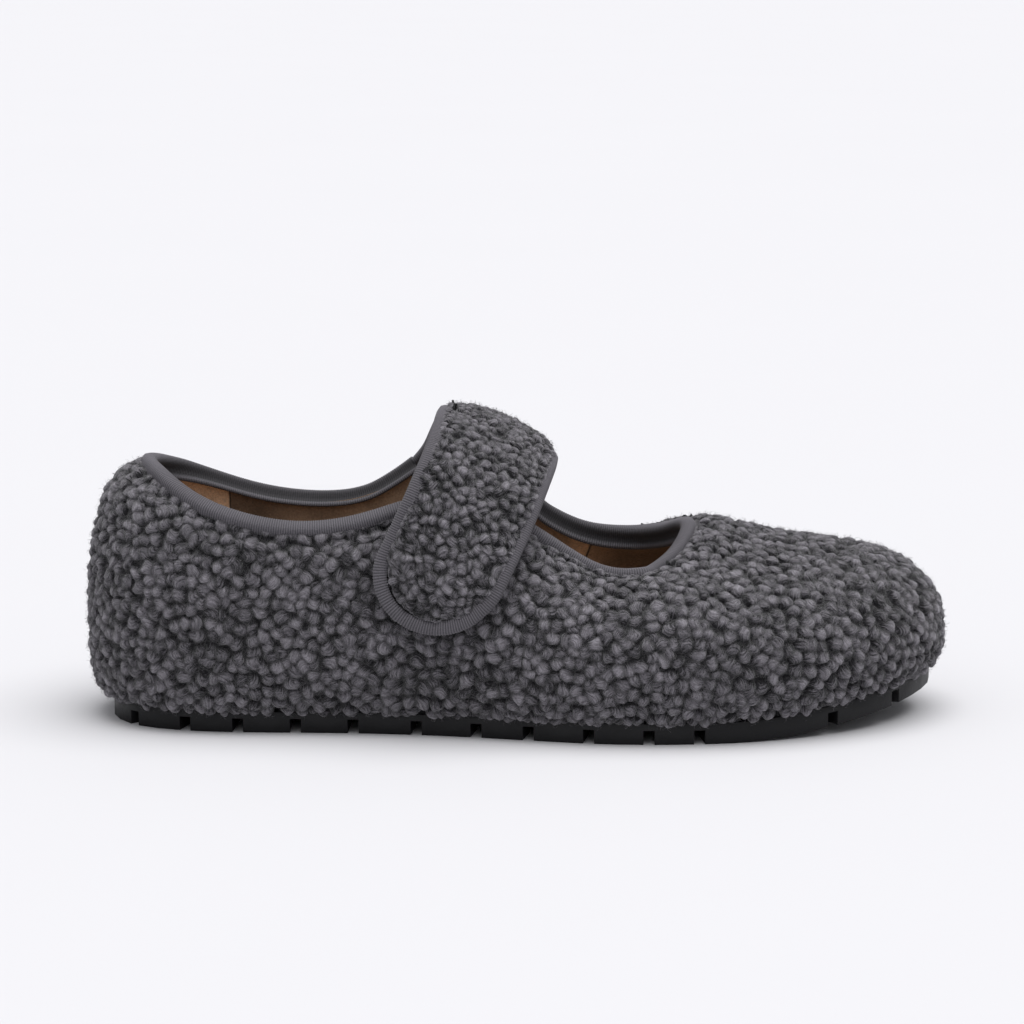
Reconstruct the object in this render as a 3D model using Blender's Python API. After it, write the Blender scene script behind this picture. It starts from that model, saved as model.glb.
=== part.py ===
"""Right-foot mary jane flat in curly fleece, with a bound strap and a flat lugged rubber sole.

Metres, +Z up. The toe points to +X, the outer side of the foot faces -Y and the inner side +Y. The shoe
stands on z = 0 and its footprint is centred on the origin. Everything is worked out in a last frame first,
whose x runs from the back of the last to the toe, and is moved to the origin at the end.
"""

import math

import bpy
import numpy as np
from mathutils import Vector
from mathutils.bvhtree import BVHTree

# Last, the form of the foot that the lining follows
LAST_LENGTH = 0.2525
BALL_WIDTH = 0.0855
RIM_HEIGHT = 0.075
GIRTH_HEIGHT = 0.0275

# Upper: lining with backing, then the curly pile outside it
LINING = 0.0026
PILE = 0.0044
RIM_WALL = 0.0036
FOOT_WALL = 0.0032
SHOULDER = 0.0045
FOOT_ROUND = 0.009
CURL_RELIEF = 0.0007

# Binding tape round the topline and the strap
TAPE_HEIGHT = 0.0045
TAPE_THICKNESS = 0.0046
CORNER_EASE = 0.0045

# Strap: pitch is its fall towards the toe, reach the way from the ridge down the outer side to the tip
STRAP_WIDTH = 0.0380
STRAP_THICKNESS = 0.0068
STRAP_EDGE = 0.0042
STRAP_DOME = 0.0032
STRAP_DRIFT = 0.0020
STRAP_PITCH = math.radians(23.5)
STRAP_ALONG = 0.4785
STRAP_REACH = 0.0775
INSTEP_HEIGHT = 0.0865

# Sole
SOLE_BASE = 0.0020
LUG_HEIGHT = 0.0043
LUG_FACET = 0.0072
TOE_WELT = 0.0026
HEEL_WELT = 0.0010
LUG_DEPTH = 0.0105
LUG_GAP = 0.0034
CHANNEL = 0.0036
TOE_SPRING = 0.0086
SPRING_FROM = 0.76
FOOTBED = 0.0045
FOOTBED_CUP = 0.0030
FOOTBED_MARGIN = 0.0009

FIT_GAP = 0.0003

# Mesh fineness
COLUMNS = 104
OUTER_ROWS = 16
INNER_ROWS = 9
TAPE_SIDES = 8
RIB_SAMPLES = 60
STRAP_COLUMNS = 10
STRAP_ROWS = 30

# One row for each rib of the last, from the back of the heel along the outer side to the toe, and back along
# the inner side. girth is the widest line and edge the rim under the binding. along is a share of the last's
# length, aside of the ball width, up of the rim height at the heel, tuck of the ball width. rise, reach and
# drop are the pulls of the curve between girth and edge.
RIB_COLUMNS = (
    "girth_along girth_aside tuck edge_along edge_aside edge_up rise reach drop".split()
)
RIBS = {
    "heel back": (0.000, 0.000, 0.058, 0.046, 0.000, 1.000, 0.30, 0.50, 0.05),
    "outer heel corner": (0.031, -0.229, 0.053, 0.067, -0.166, 0.979, 0.33, 0.48, 0.10),
    "outer heel flank": (0.114, -0.333, 0.042, 0.128, -0.288, 0.880, 0.40, 0.40, 0.30),
    "outer ankle": (0.224, -0.351, 0.035, 0.232, -0.330, 0.800, 0.40, 0.35, 0.35),
    "outer strap rear": (0.335, -0.368, 0.035, 0.335, -0.323, 0.843, 0.40, 0.35, 0.35),
    "outer strap": (0.425, -0.404, 0.033, 0.419, -0.309, 0.901, 0.42, 0.35, 0.30),
    "outer strap front": (0.516, -0.456, 0.028, 0.508, -0.304, 0.781, 0.50, 0.40, 0.30),
    "outer throat": (0.602, -0.501, 0.023, 0.587, -0.323, 0.621, 0.60, 0.45, 0.35),
    "outer ball": (0.697, -0.509, 0.023, 0.648, -0.318, 0.592, 0.60, 0.45, 0.32),
    "outer toe flank": (0.803, -0.462, 0.026, 0.672, -0.262, 0.600, 0.60, 0.45, 0.36),
    "outer toe corner": (0.909, -0.322, 0.028, 0.700, -0.173, 0.655, 0.66, 0.44, 0.40),
    "outer toe quarter": (0.974, -0.140, 0.030, 0.715, -0.077, 0.708, 0.76, 0.43, 0.42),
    "toe tip": (1.000, 0.047, 0.032, 0.719, 0.009, 0.727, 0.82, 0.42, 0.42),
    "inner toe quarter": (0.978, 0.216, 0.030, 0.714, 0.093, 0.717, 0.76, 0.43, 0.42),
    "inner toe corner": (0.917, 0.357, 0.028, 0.698, 0.186, 0.680, 0.66, 0.44, 0.40),
    "inner toe flank": (0.815, 0.462, 0.026, 0.673, 0.272, 0.648, 0.60, 0.45, 0.36),
    "inner ball": (0.709, 0.491, 0.023, 0.646, 0.320, 0.630, 0.60, 0.45, 0.32),
    "inner throat": (0.610, 0.456, 0.023, 0.589, 0.335, 0.642, 0.60, 0.45, 0.35),
    "inner strap front": (0.520, 0.392, 0.028, 0.525, 0.320, 0.742, 0.50, 0.40, 0.30),
    "inner strap": (0.429, 0.345, 0.033, 0.449, 0.299, 0.915, 0.42, 0.35, 0.30),
    "inner strap rear": (0.350, 0.330, 0.035, 0.379, 0.309, 0.930, 0.40, 0.35, 0.35),
    "inner arch": (0.282, 0.328, 0.035, 0.316, 0.328, 0.808, 0.40, 0.35, 0.35),
    "inner ankle": (0.209, 0.335, 0.037, 0.220, 0.334, 0.787, 0.40, 0.35, 0.35),
    "inner heel flank": (0.118, 0.327, 0.042, 0.132, 0.297, 0.862, 0.40, 0.40, 0.30),
    "inner heel corner": (0.031, 0.225, 0.053, 0.069, 0.161, 0.958, 0.33, 0.48, 0.10),
}

# The strap's path across the instep, seen along its width: aside, a share of the ball width, and fall below
# the ridge, a share of the instep height
STRAP_PATH = (
    (0.280, -0.150),
    (0.218, -0.086),
    (0.123, -0.026),
    (0.000, 0.000),
    (-0.135, -0.026),
    (-0.255, -0.086),
    (-0.350, -0.165),
    (-0.402, -0.262),
    (-0.425, -0.390),
    (-0.436, -0.520),
    (-0.440, -0.700),
)

# Gaps between the lugs of the sole's rim, as shares of the way round from heel to toe on either side
LUG_GAPS = (0.077, 0.138, 0.194, 0.254, 0.314, 0.380, 0.443, 0.498, 0.561, 0.623, 0.675, 0.820, 0.904)

UP = np.array([0.0, 0.0, 1.0])


# Curves and shared geometry
def closed_spline(knots, values):
    """Returns a function of the knot variable, the smooth closed curve through the rows of values."""
    period = 1.0
    steps = np.diff(np.append(knots, knots[0] + period))
    n = len(knots)
    matrix = np.zeros((n, n))
    for i in range(n):
        before = steps[i - 1]
        after = steps[i]
        matrix[i, i - 1] += before
        matrix[i, i] += 2.0 * (before + after)
        matrix[i, (i + 1) % n] += after
    slopes = (np.roll(values, -1, axis=0) - values) / steps[:, None]
    bends = np.linalg.solve(matrix, 6.0 * (slopes - np.roll(slopes, 1, axis=0)))

    def curve(at):
        at = np.mod(np.asarray(at, float), period)
        i = np.searchsorted(knots, at, side="right") - 1
        step = steps[i][..., None]
        t = (at - knots[i])[..., None]
        rest = step - t
        j = (i + 1) % n
        return (
            (bends[i] * rest**3 + bends[j] * t**3) / (6.0 * step)
            + (values[i] / step - bends[i] * step / 6.0) * rest
            + (values[j] / step - bends[j] * step / 6.0) * t
        )

    return curve


def open_spline(points, at):
    """Points of a smooth open curve through the given ones, at shares of its chord length."""
    points = np.asarray(points, float)
    chords = np.linalg.norm(np.diff(points, axis=0), axis=1)
    knots = np.concatenate([[0.0], np.cumsum(chords)]) / chords.sum()
    slopes = np.gradient(points, knots, axis=0)
    i = np.clip(np.searchsorted(knots, at, side="right") - 1, 0, len(knots) - 2)
    step = (knots[i + 1] - knots[i])[:, None]
    t = (at - knots[i])[:, None] / step
    return (
        (2 * t**3 - 3 * t**2 + 1) * points[i]
        + (t**3 - 2 * t**2 + t) * step * slopes[i]
        + (3 * t**2 - 2 * t**3) * points[i + 1]
        + (t**3 - t**2) * step * slopes[i + 1]
    )


def lengths_along(points):
    """Running length at each point of a polyline."""
    return np.concatenate([[0.0], np.cumsum(np.linalg.norm(np.diff(points, axis=0), axis=1))])


def resample(points, at):
    """Points of a polyline at the given running lengths."""
    running = lengths_along(points)
    return np.stack([np.interp(at, running, points[:, k]) for k in range(points.shape[1])], axis=1)


def unit(vectors):
    """Vectors of length one."""
    return vectors / np.maximum(np.linalg.norm(vectors, axis=-1, keepdims=True), 1e-12)


def smoothstep(t):
    """0 to 1 with level ends."""
    t = np.clip(t, 0.0, 1.0)
    return t * t * (3.0 - 2.0 * t)


def quarter_round(distance, radius):
    """0 at an edge, rising like a quarter circle to 1 at radius."""
    t = np.clip(distance / radius, 0.0, 1.0)
    return np.sqrt(1.0 - (1.0 - t) ** 2)


# The last
def rib_curves():
    """Closed curves through the rib table: (function of u for the columns, knots)."""
    rows = np.array(list(RIBS.values()))
    toe = list(RIBS).index("toe tip")
    plan = rows[:, :2] * [LAST_LENGTH, BALL_WIDTH]
    steps = np.linalg.norm(np.roll(plan, -1, axis=0) - plan, axis=1)
    outer = np.cumsum(steps[:toe])
    inner = np.cumsum(steps[toe:])
    knots = np.concatenate([[0.0], 0.5 * outer / outer[-1], 0.5 + 0.5 * inner[:-1] / inner[-1]])
    return closed_spline(knots, rows)


RIB = rib_curves()


def spring(x):
    """How far the sole's underside is lifted at x of the last frame."""
    share = (x / LAST_LENGTH - SPRING_FROM) / (1.0 - SPRING_FROM)
    return TOE_SPRING * np.clip(share, 0.0, None) ** 1.5


def sole_top(x):
    """Height of the sole's upper face at x."""
    return spring(x) + LUG_HEIGHT + SOLE_BASE


def columns_at(u):
    """The rib table's columns at u, as a dict of arrays."""
    values = RIB(u)
    return {name: values[..., k] for k, name in enumerate(RIB_COLUMNS)}


def girth_plan(u):
    """The widest line in plan."""
    c = columns_at(u)
    return np.stack([c["girth_along"] * LAST_LENGTH, c["girth_aside"] * BALL_WIDTH], axis=-1)


def outward_in_plan(u):
    """Unit vectors in plan that point out of the last, square to the widest line."""
    step = 1e-3
    run = girth_plan(u + step) - girth_plan(u - step)
    return unit(np.stack([run[..., 1], -run[..., 0]], axis=-1))


def ribs(u):
    """Each rib as a fine polyline from the feather edge up to the rim, (ribs, samples, 3)."""
    c = columns_at(u)
    girth = girth_plan(u)
    out = outward_in_plan(u)
    feather = girth - out * (c["tuck"] * BALL_WIDTH)[:, None]
    feather_z = sole_top(feather[:, 0]) + FIT_GAP
    girth = np.column_stack([girth, np.full(len(girth), GIRTH_HEIGHT)])
    feather = np.column_stack([feather, feather_z])
    edge = np.column_stack(
        [c["edge_along"] * LAST_LENGTH, c["edge_aside"] * BALL_WIDTH, c["edge_up"] * RIM_HEIGHT]
    )
    climb = edge - girth
    first = girth + climb * c["rise"][:, None] * UP
    second = edge - climb * np.stack([c["reach"], c["reach"], c["drop"]], axis=-1)
    turn = np.linspace(0.0, math.pi / 2, RIB_SAMPLES // 3, endpoint=False)[None, :, None]
    low = feather[:, None] + (girth - feather)[:, None] * np.concatenate(
        [np.sin(turn), np.sin(turn), 1.0 - np.cos(turn)], axis=-1
    )
    t = np.linspace(0.0, 1.0, RIB_SAMPLES)[None, :, None]
    high = (
        girth[:, None] * (1 - t) ** 3
        + 3 * first[:, None] * t * (1 - t) ** 2
        + 3 * second[:, None] * t**2 * (1 - t)
        + edge[:, None] * t**3
    )
    return np.concatenate([low, high], axis=1)


def lining_grid(u, shares):
    """Points of the last at shares of each rib's length, and those lengths: (ribs, shares, 3), (ribs,)."""
    fine = ribs(u)
    points = np.empty((len(u), len(shares), 3))
    totals = np.empty(len(u))
    for i, rib in enumerate(fine):
        totals[i] = lengths_along(rib)[-1]
        points[i] = resample(rib, np.asarray(shares) * totals[i])
    return points, totals


def lining_frame(u, shares):
    """Points, outward normals, rib directions and rib lengths over a grid of the last."""
    points, totals = lining_grid(u, shares)
    du = 1e-3
    ds = 4e-3
    across = lining_grid(u + du, shares)[0] - lining_grid(u - du, shares)[0]
    shares = np.asarray(shares)
    upper = np.clip(shares + ds, 0, 1)
    lower = np.clip(shares - ds, 0, 1)
    climb = lining_grid(u, upper)[0] - lining_grid(u, lower)[0]
    return points, unit(np.cross(across, climb)), unit(climb), totals


# The strap's frame: its width runs along ACROSS, its face at the ridge looks along OFF_FOOT
ACROSS = np.array([math.cos(STRAP_PITCH), 0.0, -math.sin(STRAP_PITCH)])
OFF_FOOT = np.array([math.sin(STRAP_PITCH), 0.0, math.cos(STRAP_PITCH)])
RIDGE = np.array([STRAP_ALONG * LAST_LENGTH, 0.0, INSTEP_HEIGHT])


def strap_across(points):
    """How far points lie along the strap's width from its middle."""
    return (points - RIDGE) @ ACROSS


def strap_base_u(across):
    """Where on the inner rim the strap's lines at these distances from its middle begin."""
    u = np.linspace(0.5, 1.0, 400)
    near = columns_at(u)
    rim = np.column_stack(
        [near["edge_along"] * LAST_LENGTH, near["edge_aside"] * BALL_WIDTH, near["edge_up"] * RIM_HEIGHT]
    )
    place = strap_across(rim)
    order = np.argsort(place)
    return np.interp(across, place[order], u[order])


HALF_TAPE = TAPE_HEIGHT / 2
TAPE_LINE = STRAP_WIDTH / 2 - HALF_TAPE
STRAP_BODY = STRAP_WIDTH / 2 - TAPE_HEIGHT - FIT_GAP
FRONT_U, REAR_U = strap_base_u(np.array([TAPE_LINE, -TAPE_LINE]))


def bound_share(u):
    """1 where the rim is bound, falling to 0 where the strap grows out of it."""
    soft = 0.012
    u = np.mod(u, 1.0)
    inside = np.minimum(u - FRONT_U, REAR_U - u)
    return 1.0 - smoothstep(inside / soft + 0.5)


def wall(u, shares, totals):
    """Thickness of the upper's wall over a grid."""
    full = LINING + PILE
    to_rim = (1.0 - shares)[None, :] * totals[:, None]
    to_foot = shares[None, :] * totals[:, None]
    top = RIM_WALL + (full - RIM_WALL) * quarter_round(to_rim, SHOULDER)
    top = full + (top - full) * bound_share(u)[:, None]
    foot = FOOT_WALL + (full - FOOT_WALL) * quarter_round(to_foot, FOOT_ROUND)
    return np.minimum(top, foot)


def outer_grid(u, shares, relief=0.0):
    """Outside of the upper over a grid: (points, normals, rib directions, lining points, wall)."""
    shares = np.asarray(shares)
    points, normals, climbs, totals = lining_frame(u, shares)
    level = np.zeros_like(normals)
    level[..., :2] = outward_in_plan(u)[:, None]
    to_foot = shares[None, :] * totals[:, None]
    turned = smoothstep(to_foot / FOOT_ROUND)[..., None]
    off = unit(level * (1.0 - turned) + normals * turned)
    thick = wall(u, shares, totals)
    outside = points + off * (thick + relief)[..., None]
    floor = sole_top(outside[..., 0]) + FIT_GAP
    outside[..., 2] = np.maximum(outside[..., 2], floor)
    return outside, normals, climbs, points, thick


def clustered(n):
    """Shares from 0 to 1, closer together at both ends."""
    t = np.linspace(0.0, 1.0, n)
    return 0.55 * t + 0.45 * (0.5 - 0.5 * np.cos(math.pi * t))


def sole_outline(u):
    """The sole's edge in plan: the foot of the upper's outside, and a little past it at the toe and heel."""
    outline = outer_grid(u, [0.0])[0][:, 0, :2].copy()
    share = outline[:, 0] / LAST_LENGTH
    outline[:, 0] += TOE_WELT * smoothstep((share - 0.78) / 0.2) - HEEL_WELT * smoothstep((0.16 - share) / 0.14)
    return outline


# Meshes
def make_object(name, points, faces, material):
    """Adds a smooth-shaded mesh object with its normals facing out."""
    mesh = bpy.data.meshes.new(name)
    mesh.from_pydata([tuple(map(float, p)) for p in points], [], faces)
    mesh.update()
    mesh.materials.append(material)
    mesh.shade_smooth()
    mesh.set_sharp_from_angle(angle=math.radians(40))
    obj = bpy.data.objects.new(name, mesh)
    bpy.context.scene.collection.objects.link(obj)
    return obj


def material(name, colour, roughness):
    """A plain non-metal finish."""
    made = bpy.data.materials.new(name)
    made.use_nodes = True
    shader = made.node_tree.nodes["Principled BSDF"]
    shader.inputs["Base Color"].default_value = (*colour, 1.0)
    shader.inputs["Roughness"].default_value = roughness
    shader.inputs["Metallic"].default_value = 0.0
    return made


def ring_faces(rings, around, closed):
    """Quads between neighbouring rings of points; closed joins the last ring to the first."""
    faces = []
    for i in range(rings if closed else rings - 1):
        for k in range(around):
            a = i * around
            b = (i + 1) % rings * around
            n = (k + 1) % around
            faces.append((a + k, b + k, b + n, a + n))
    return faces


def flipped(faces):
    """The same faces, looking the other way."""
    return [tuple(reversed(face)) for face in faces]


# Upper
def make_upper(finish):
    """One hollow wall: the pile outside, the lining inside, open at the top and underneath."""
    u = np.arange(COLUMNS) / COLUMNS
    shares = clustered(OUTER_ROWS)
    curls = np.zeros((COLUMNS, OUTER_ROWS))
    for i in range(COLUMNS):
        for j in range(3, OUTER_ROWS - 3):
            curls[i, j] = CURL_RELIEF * (1 if (i + j) % 2 else -1)
    outside = outer_grid(u, shares, curls)[0]
    inside = lining_grid(u, np.linspace(0.0, 1.0, INNER_ROWS) ** 1.7)[0]
    section = np.concatenate([outside, inside[:, ::-1]], axis=1)
    points = section.reshape(-1, 3)
    faces = ring_faces(COLUMNS, OUTER_ROWS + INNER_ROWS, closed=True)
    return make_object("upper", points, faces, finish)


# Strap
class Strap:
    """The band over the instep.

    Its underside is a grid over across, the distance from its middle line, and way, the distance from the
    ridge towards the tip. On the inner side way is a share instead, -1 where the band leaves the rim.
    """

    def __init__(self, shoe):
        self.across = np.linspace(-STRAP_WIDTH / 2, STRAP_WIDTH / 2, 27)
        self.way = np.concatenate([np.linspace(-1.0, 0.0, 16), np.arange(1, 62) * 0.0014])
        lines = [self.line(across, shoe) for across in self.across]
        self.under = np.array(lines)
        across_step = np.gradient(self.under, axis=0)
        way_step = np.gradient(self.under, axis=1)
        self.off = unit(np.cross(way_step, across_step))
        inner = np.linalg.norm(np.diff(self.under[:, :16], axis=1), axis=2)
        self.inner_length = inner.sum(axis=1)

    def line(self, across, shoe):
        """Underside of the band at one distance across, at every way."""
        rim_u = strap_base_u(np.array([across]))
        outside, normals, climbs, lining, thick = outer_grid(rim_u, [1.0])
        start = lining[0, 0] + climbs[0, 0] * 1.3 * FIT_GAP
        guide = [(start[1], (start - RIDGE) @ OFF_FOOT)]
        for aside, fall in STRAP_PATH:
            guide.append((aside * BALL_WIDTH, fall * INSTEP_HEIGHT))
        flat = open_spline(guide, np.linspace(0.0, 1.0, 120))
        bow = STRAP_DOME * (2.0 * across / STRAP_WIDTH) ** 2
        flat[:, 1] -= bow * (1.0 - smoothstep(np.abs(flat[:, 0]) / abs(guide[0][0])))
        outer_share = np.where(flat[:, 0] < 0, -flat[:, 1] / STRAP_REACH, 0.0)
        points = RIDGE + np.outer(across - STRAP_DRIFT * outer_share, ACROSS)
        points += np.outer(flat[:, 0], [0.0, 1.0, 0.0]) + np.outer(flat[:, 1], OFF_FOOT)
        points = clear_of_shoe(points, shoe)
        running = lengths_along(points)
        ridge = np.interp(0.0, -points[:, 1], running)
        inner = ridge * (1.0 + self.way[:16])
        outer = ridge + self.way[16:]
        return resample(points, np.concatenate([inner, outer]))

    def at(self, across, way):
        """Points of the underside and its normals, for arrays of across and way."""
        i = np.interp(across, self.across, np.arange(len(self.across)))
        j = np.interp(way, self.way, np.arange(len(self.way)))
        low_i = np.clip(i.astype(int), 0, len(self.across) - 2)
        low_j = np.clip(j.astype(int), 0, len(self.way) - 2)
        fi = (i - low_i)[..., None]
        fj = (j - low_j)[..., None]

        def blend(field):
            near = field[low_i, low_j] * (1 - fj) + field[low_i, low_j + 1] * fj
            far = field[low_i + 1, low_j] * (1 - fj) + field[low_i + 1, low_j + 1] * fj
            return near * (1 - fi) + far * fi

        return blend(self.under), unit(blend(self.off))

    def edge_path(self, half):
        """Middle of the binding from the front base round the tip to the rear base, and its normals."""
        base = -1.0 + (FIT_GAP + HALF_TAPE + 0.003) / np.interp(half, self.across, self.inner_length)
        rear_base = -1.0 + (FIT_GAP + HALF_TAPE + 0.003) / np.interp(-half, self.across, self.inner_length)
        side = np.concatenate([np.linspace(base, 0.0, 24), np.arange(1, 40) * TIP_CENTRE / 40])
        back = np.concatenate([np.arange(39, 0, -1) * TIP_CENTRE / 40, np.linspace(0.0, rear_base, 24)])
        turn = np.linspace(0.0, math.pi, 41)
        across = np.concatenate([np.full(len(side), half), half * np.cos(turn), np.full(len(back), -half)])
        way = np.concatenate([side, TIP_CENTRE + half * np.sin(turn), back])
        points, off = self.at(across, way)
        return points + off * TAPE_THICKNESS / 2, off


TIP_CENTRE = STRAP_REACH - STRAP_WIDTH / 2


def clear_of_shoe(points, shoe):
    """Moves the outer side of a line out of the shoe and keeps it smooth."""
    needed = np.full(len(points), np.inf)
    for i, p in enumerate(points):
        hit = shoe.ray_cast(Vector((p[0], -1.0, p[2])), Vector((0.0, 1.0, 0.0)))[0]
        if p[1] < 0 and hit is not None and hit.y < -0.01:
            needed[i] = hit.y - 1.6 * FIT_GAP
    side = np.minimum(points[:, 1], needed)
    for _ in range(12):
        soft = side.copy()
        soft[1:-1] = (side[:-2] + 2 * side[1:-1] + side[2:]) / 4
        side = np.where(points[:, 1] < 0, np.minimum(soft, needed), points[:, 1])
    moved = points.copy()
    moved[:, 1] = side
    return moved


def shoe_envelope():
    """The upper's outside at the tops of its curls, for fitting the strap over it."""
    u = np.arange(2 * COLUMNS) / (2 * COLUMNS)
    rows = 40
    outside = outer_grid(u, np.linspace(0.0, 1.0, rows), CURL_RELIEF)[0]
    faces = []
    for i in range(len(u)):
        for k in range(rows - 1):
            a = i * rows + k
            b = (i + 1) % len(u) * rows + k
            faces.append((a, b, b + 1, a + 1))
    return BVHTree.FromPolygons([Vector(p) for p in outside.reshape(-1, 3)], faces)


def slab(top, bottom):
    """Vertices and faces of the body between two grids of the same shape."""
    n, m = top.shape[:2]
    count = n * m
    faces = []
    rim = []
    for i in range(n - 1):
        for j in range(m - 1):
            a = i * m + j
            faces.append((a, a + 1, a + m + 1, a + m))
    faces += [tuple(k + count for k in reversed(face)) for face in faces]
    rim += [(j, j + 1) for j in range(m - 1)]
    rim += [(i * m + m - 1, (i + 1) * m + m - 1) for i in range(n - 1)]
    rim += [((n - 1) * m + j + 1, (n - 1) * m + j) for j in range(m - 1)]
    rim += [((i + 1) * m, i * m) for i in range(n - 1)]
    for p, q in rim:
        faces.append((p + count, q + count, q, p))
    return np.concatenate([top.reshape(-1, 3), bottom.reshape(-1, 3)]), faces


def make_strap(strap, finish):
    """The band's body inside its binding, butted to the wing of the upper."""
    turn = np.linspace(math.pi, 0.0, STRAP_COLUMNS)
    across = np.repeat((STRAP_BODY * np.cos(turn))[:, None], STRAP_ROWS, axis=1)
    tip = TIP_CENTRE + STRAP_BODY * np.sin(turn)
    share = np.linspace(0.0, 1.0, STRAP_ROWS)[None, :]
    inner = np.interp(across[:, 0], strap.across, strap.inner_length)
    from_base = share * (inner + tip)[:, None]
    way = np.where(from_base < inner[:, None], from_base / inner[:, None] - 1.0, from_base - inner[:, None])
    under, off = strap.at(across, way)
    past = np.maximum(way - TIP_CENTRE, 0.0)
    to_edge = STRAP_BODY - np.hypot(across, past)
    thick = STRAP_EDGE + (STRAP_THICKNESS - STRAP_EDGE) * quarter_round(to_edge, SHOULDER)
    for i in range(1, STRAP_COLUMNS - 1):
        for j in range(2, STRAP_ROWS - 2):
            thick[i, j] += CURL_RELIEF / 2 * (1 if (i + j) % 2 else -1)
    points, faces = slab(under + off * thick[..., None], under)
    return make_object("strap", points, faces, finish)


# Binding
def tape_section():
    """Outline of the folded tape, as shares of its half sizes: (out of the edge, off the wall)."""
    turn = 2 * math.pi * (np.arange(TAPE_SIDES) + 0.5) / TAPE_SIDES
    square = 0.7
    out = np.sign(np.cos(turn)) * np.abs(np.cos(turn)) ** square
    off = np.sign(np.sin(turn)) * np.abs(np.sin(turn)) ** square
    return np.column_stack([out / out.max(), off / off.max()])


def make_tape(name, path, normals, run, finish):
    """A tape swept along a path that heads along run; normals point off the wall that it binds."""
    off = unit(normals - run * np.sum(normals * run, axis=1, keepdims=True))
    edge = np.cross(off, run)
    section = tape_section()
    rings = (
        path[:, None]
        + edge[:, None] * section[None, :, :1] * HALF_TAPE
        + off[:, None] * section[None, :, 1:] * TAPE_THICKNESS / 2
    )
    last = (len(path) - 1) * TAPE_SIDES
    faces = flipped(ring_faces(len(path), TAPE_SIDES, closed=False))
    faces.append(tuple(reversed(range(TAPE_SIDES))))
    faces.append(tuple(range(last, last + TAPE_SIDES)))
    return make_object(name, rings.reshape(-1, 3), faces, finish)


def topline_path(u):
    """Middle of the binding that sits on the rim, and the wall's normal there."""
    outside, normals, climbs, lining, thick = outer_grid(u, [1.0])
    off = normals[:, 0]
    out = unit(np.cross(off, rim_run(u)))
    return lining[:, 0] + off * TAPE_THICKNESS / 2 + out * (1.3 * FIT_GAP + HALF_TAPE), off


def rim_run(u):
    """Unit vectors along the rim."""
    ahead = columns_at(u + 1e-3)
    behind = columns_at(u - 1e-3)
    along = (ahead["edge_along"] - behind["edge_along"]) * LAST_LENGTH
    aside = (ahead["edge_aside"] - behind["edge_aside"]) * BALL_WIDTH
    up = (ahead["edge_up"] - behind["edge_up"]) * RIM_HEIGHT
    return unit(np.stack([along, aside, up], axis=-1))


def bound_edge(strap):
    """Path, normals and headings of the two tapes, whose corners at the strap's base are eased."""
    fine = 4 * COLUMNS
    first = math.ceil(REAR_U * fine)
    last = math.floor((FRONT_U + 1.0) * fine)
    ticks = np.arange(first, last + 1)
    u = np.concatenate([[REAR_U], ticks / fine, [FRONT_U + 1.0]])
    on_column = np.concatenate([[False], ticks % 4 == 0, [False]])
    top, top_off = topline_path(u)
    side, side_off = strap.edge_path(TAPE_LINE)
    path = np.concatenate([top, side])
    off = np.concatenate([top_off, side_off])
    corner = len(top) - 1
    running = lengths_along(path)
    ease = np.maximum(
        np.exp(-(((running - running[corner]) / CORNER_EASE) ** 2)),
        np.exp(-(((running - running[0]) / CORNER_EASE) ** 2))
        + np.exp(-(((running - running[-1]) / CORNER_EASE) ** 2)),
    )[:, None]
    for _ in range(7):
        soft = (np.roll(path, 1, axis=0) + 2 * path + np.roll(path, -1, axis=0)) / 4
        path = path + (soft - path) * ease
        soft = (np.roll(off, 1, axis=0) + 2 * off + np.roll(off, -1, axis=0)) / 4
        off = unit(off + (soft - off) * ease)
    run = unit(np.roll(path, -1, axis=0) - np.roll(path, 1, axis=0))
    keep = [0]
    for i in range(1, corner):
        if on_column[i] and min(running[i], running[corner] - running[i]) > 0.003:
            keep.append(i)
    keep.append(corner)
    strap_keep = list(range(corner, len(path), 3)) + [0]
    return [(trimmed(path[ring], run[ring]), off[ring], run[ring]) for ring in (keep, strap_keep)]


def trimmed(path, run):
    """A path cut back by half the fit gap at both ends."""
    path = path.copy()
    path[0] += run[0] * FIT_GAP / 2
    path[-1] -= run[-1] * FIT_GAP / 2
    return path


# Footbed
def make_insole(finish):
    """The contoured footbed: it fills the foot of the lining and cups up at its edge."""
    n = COLUMNS // 2
    u = np.arange(n) / n
    fine = ribs(u)
    out = outward_in_plan(u)
    levels = [0.0, 0.4, 1.0]
    rings = []
    for level in levels:
        ring = np.empty((n, 3))
        for i in range(n):
            floor = fine[i, 0, 2]
            z = floor + level * (FOOTBED + FOOTBED_CUP)
            ring[i, 0] = np.interp(z, fine[i, :40, 2], fine[i, :40, 0])
            ring[i, 1] = np.interp(z, fine[i, :40, 2], fine[i, :40, 1])
            ring[i, 2] = z
        ring[:, :2] -= out * FOOTBED_MARGIN
        rings.append(ring)
    rings[0][:, :2] -= out * FOOTBED_MARGIN
    points = list(np.concatenate(rings))
    faces = []
    for k in range(len(levels) - 1):
        for i in range(n):
            a = k * n + i
            b = k * n + (i + 1) % n
            faces.append((a, b, b + n, a + n))
    faces += ladder(points, 0, n, 4, lambda t, p: p[2], True)
    dish = lambda t, p: p[2] - FOOTBED_CUP * (1.0 - abs(2.0 * t - 1.0) ** 3)
    faces += ladder(points, (len(levels) - 1) * n, n, 8, dish, False)
    return make_object("insole", points, faces, finish)


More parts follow.
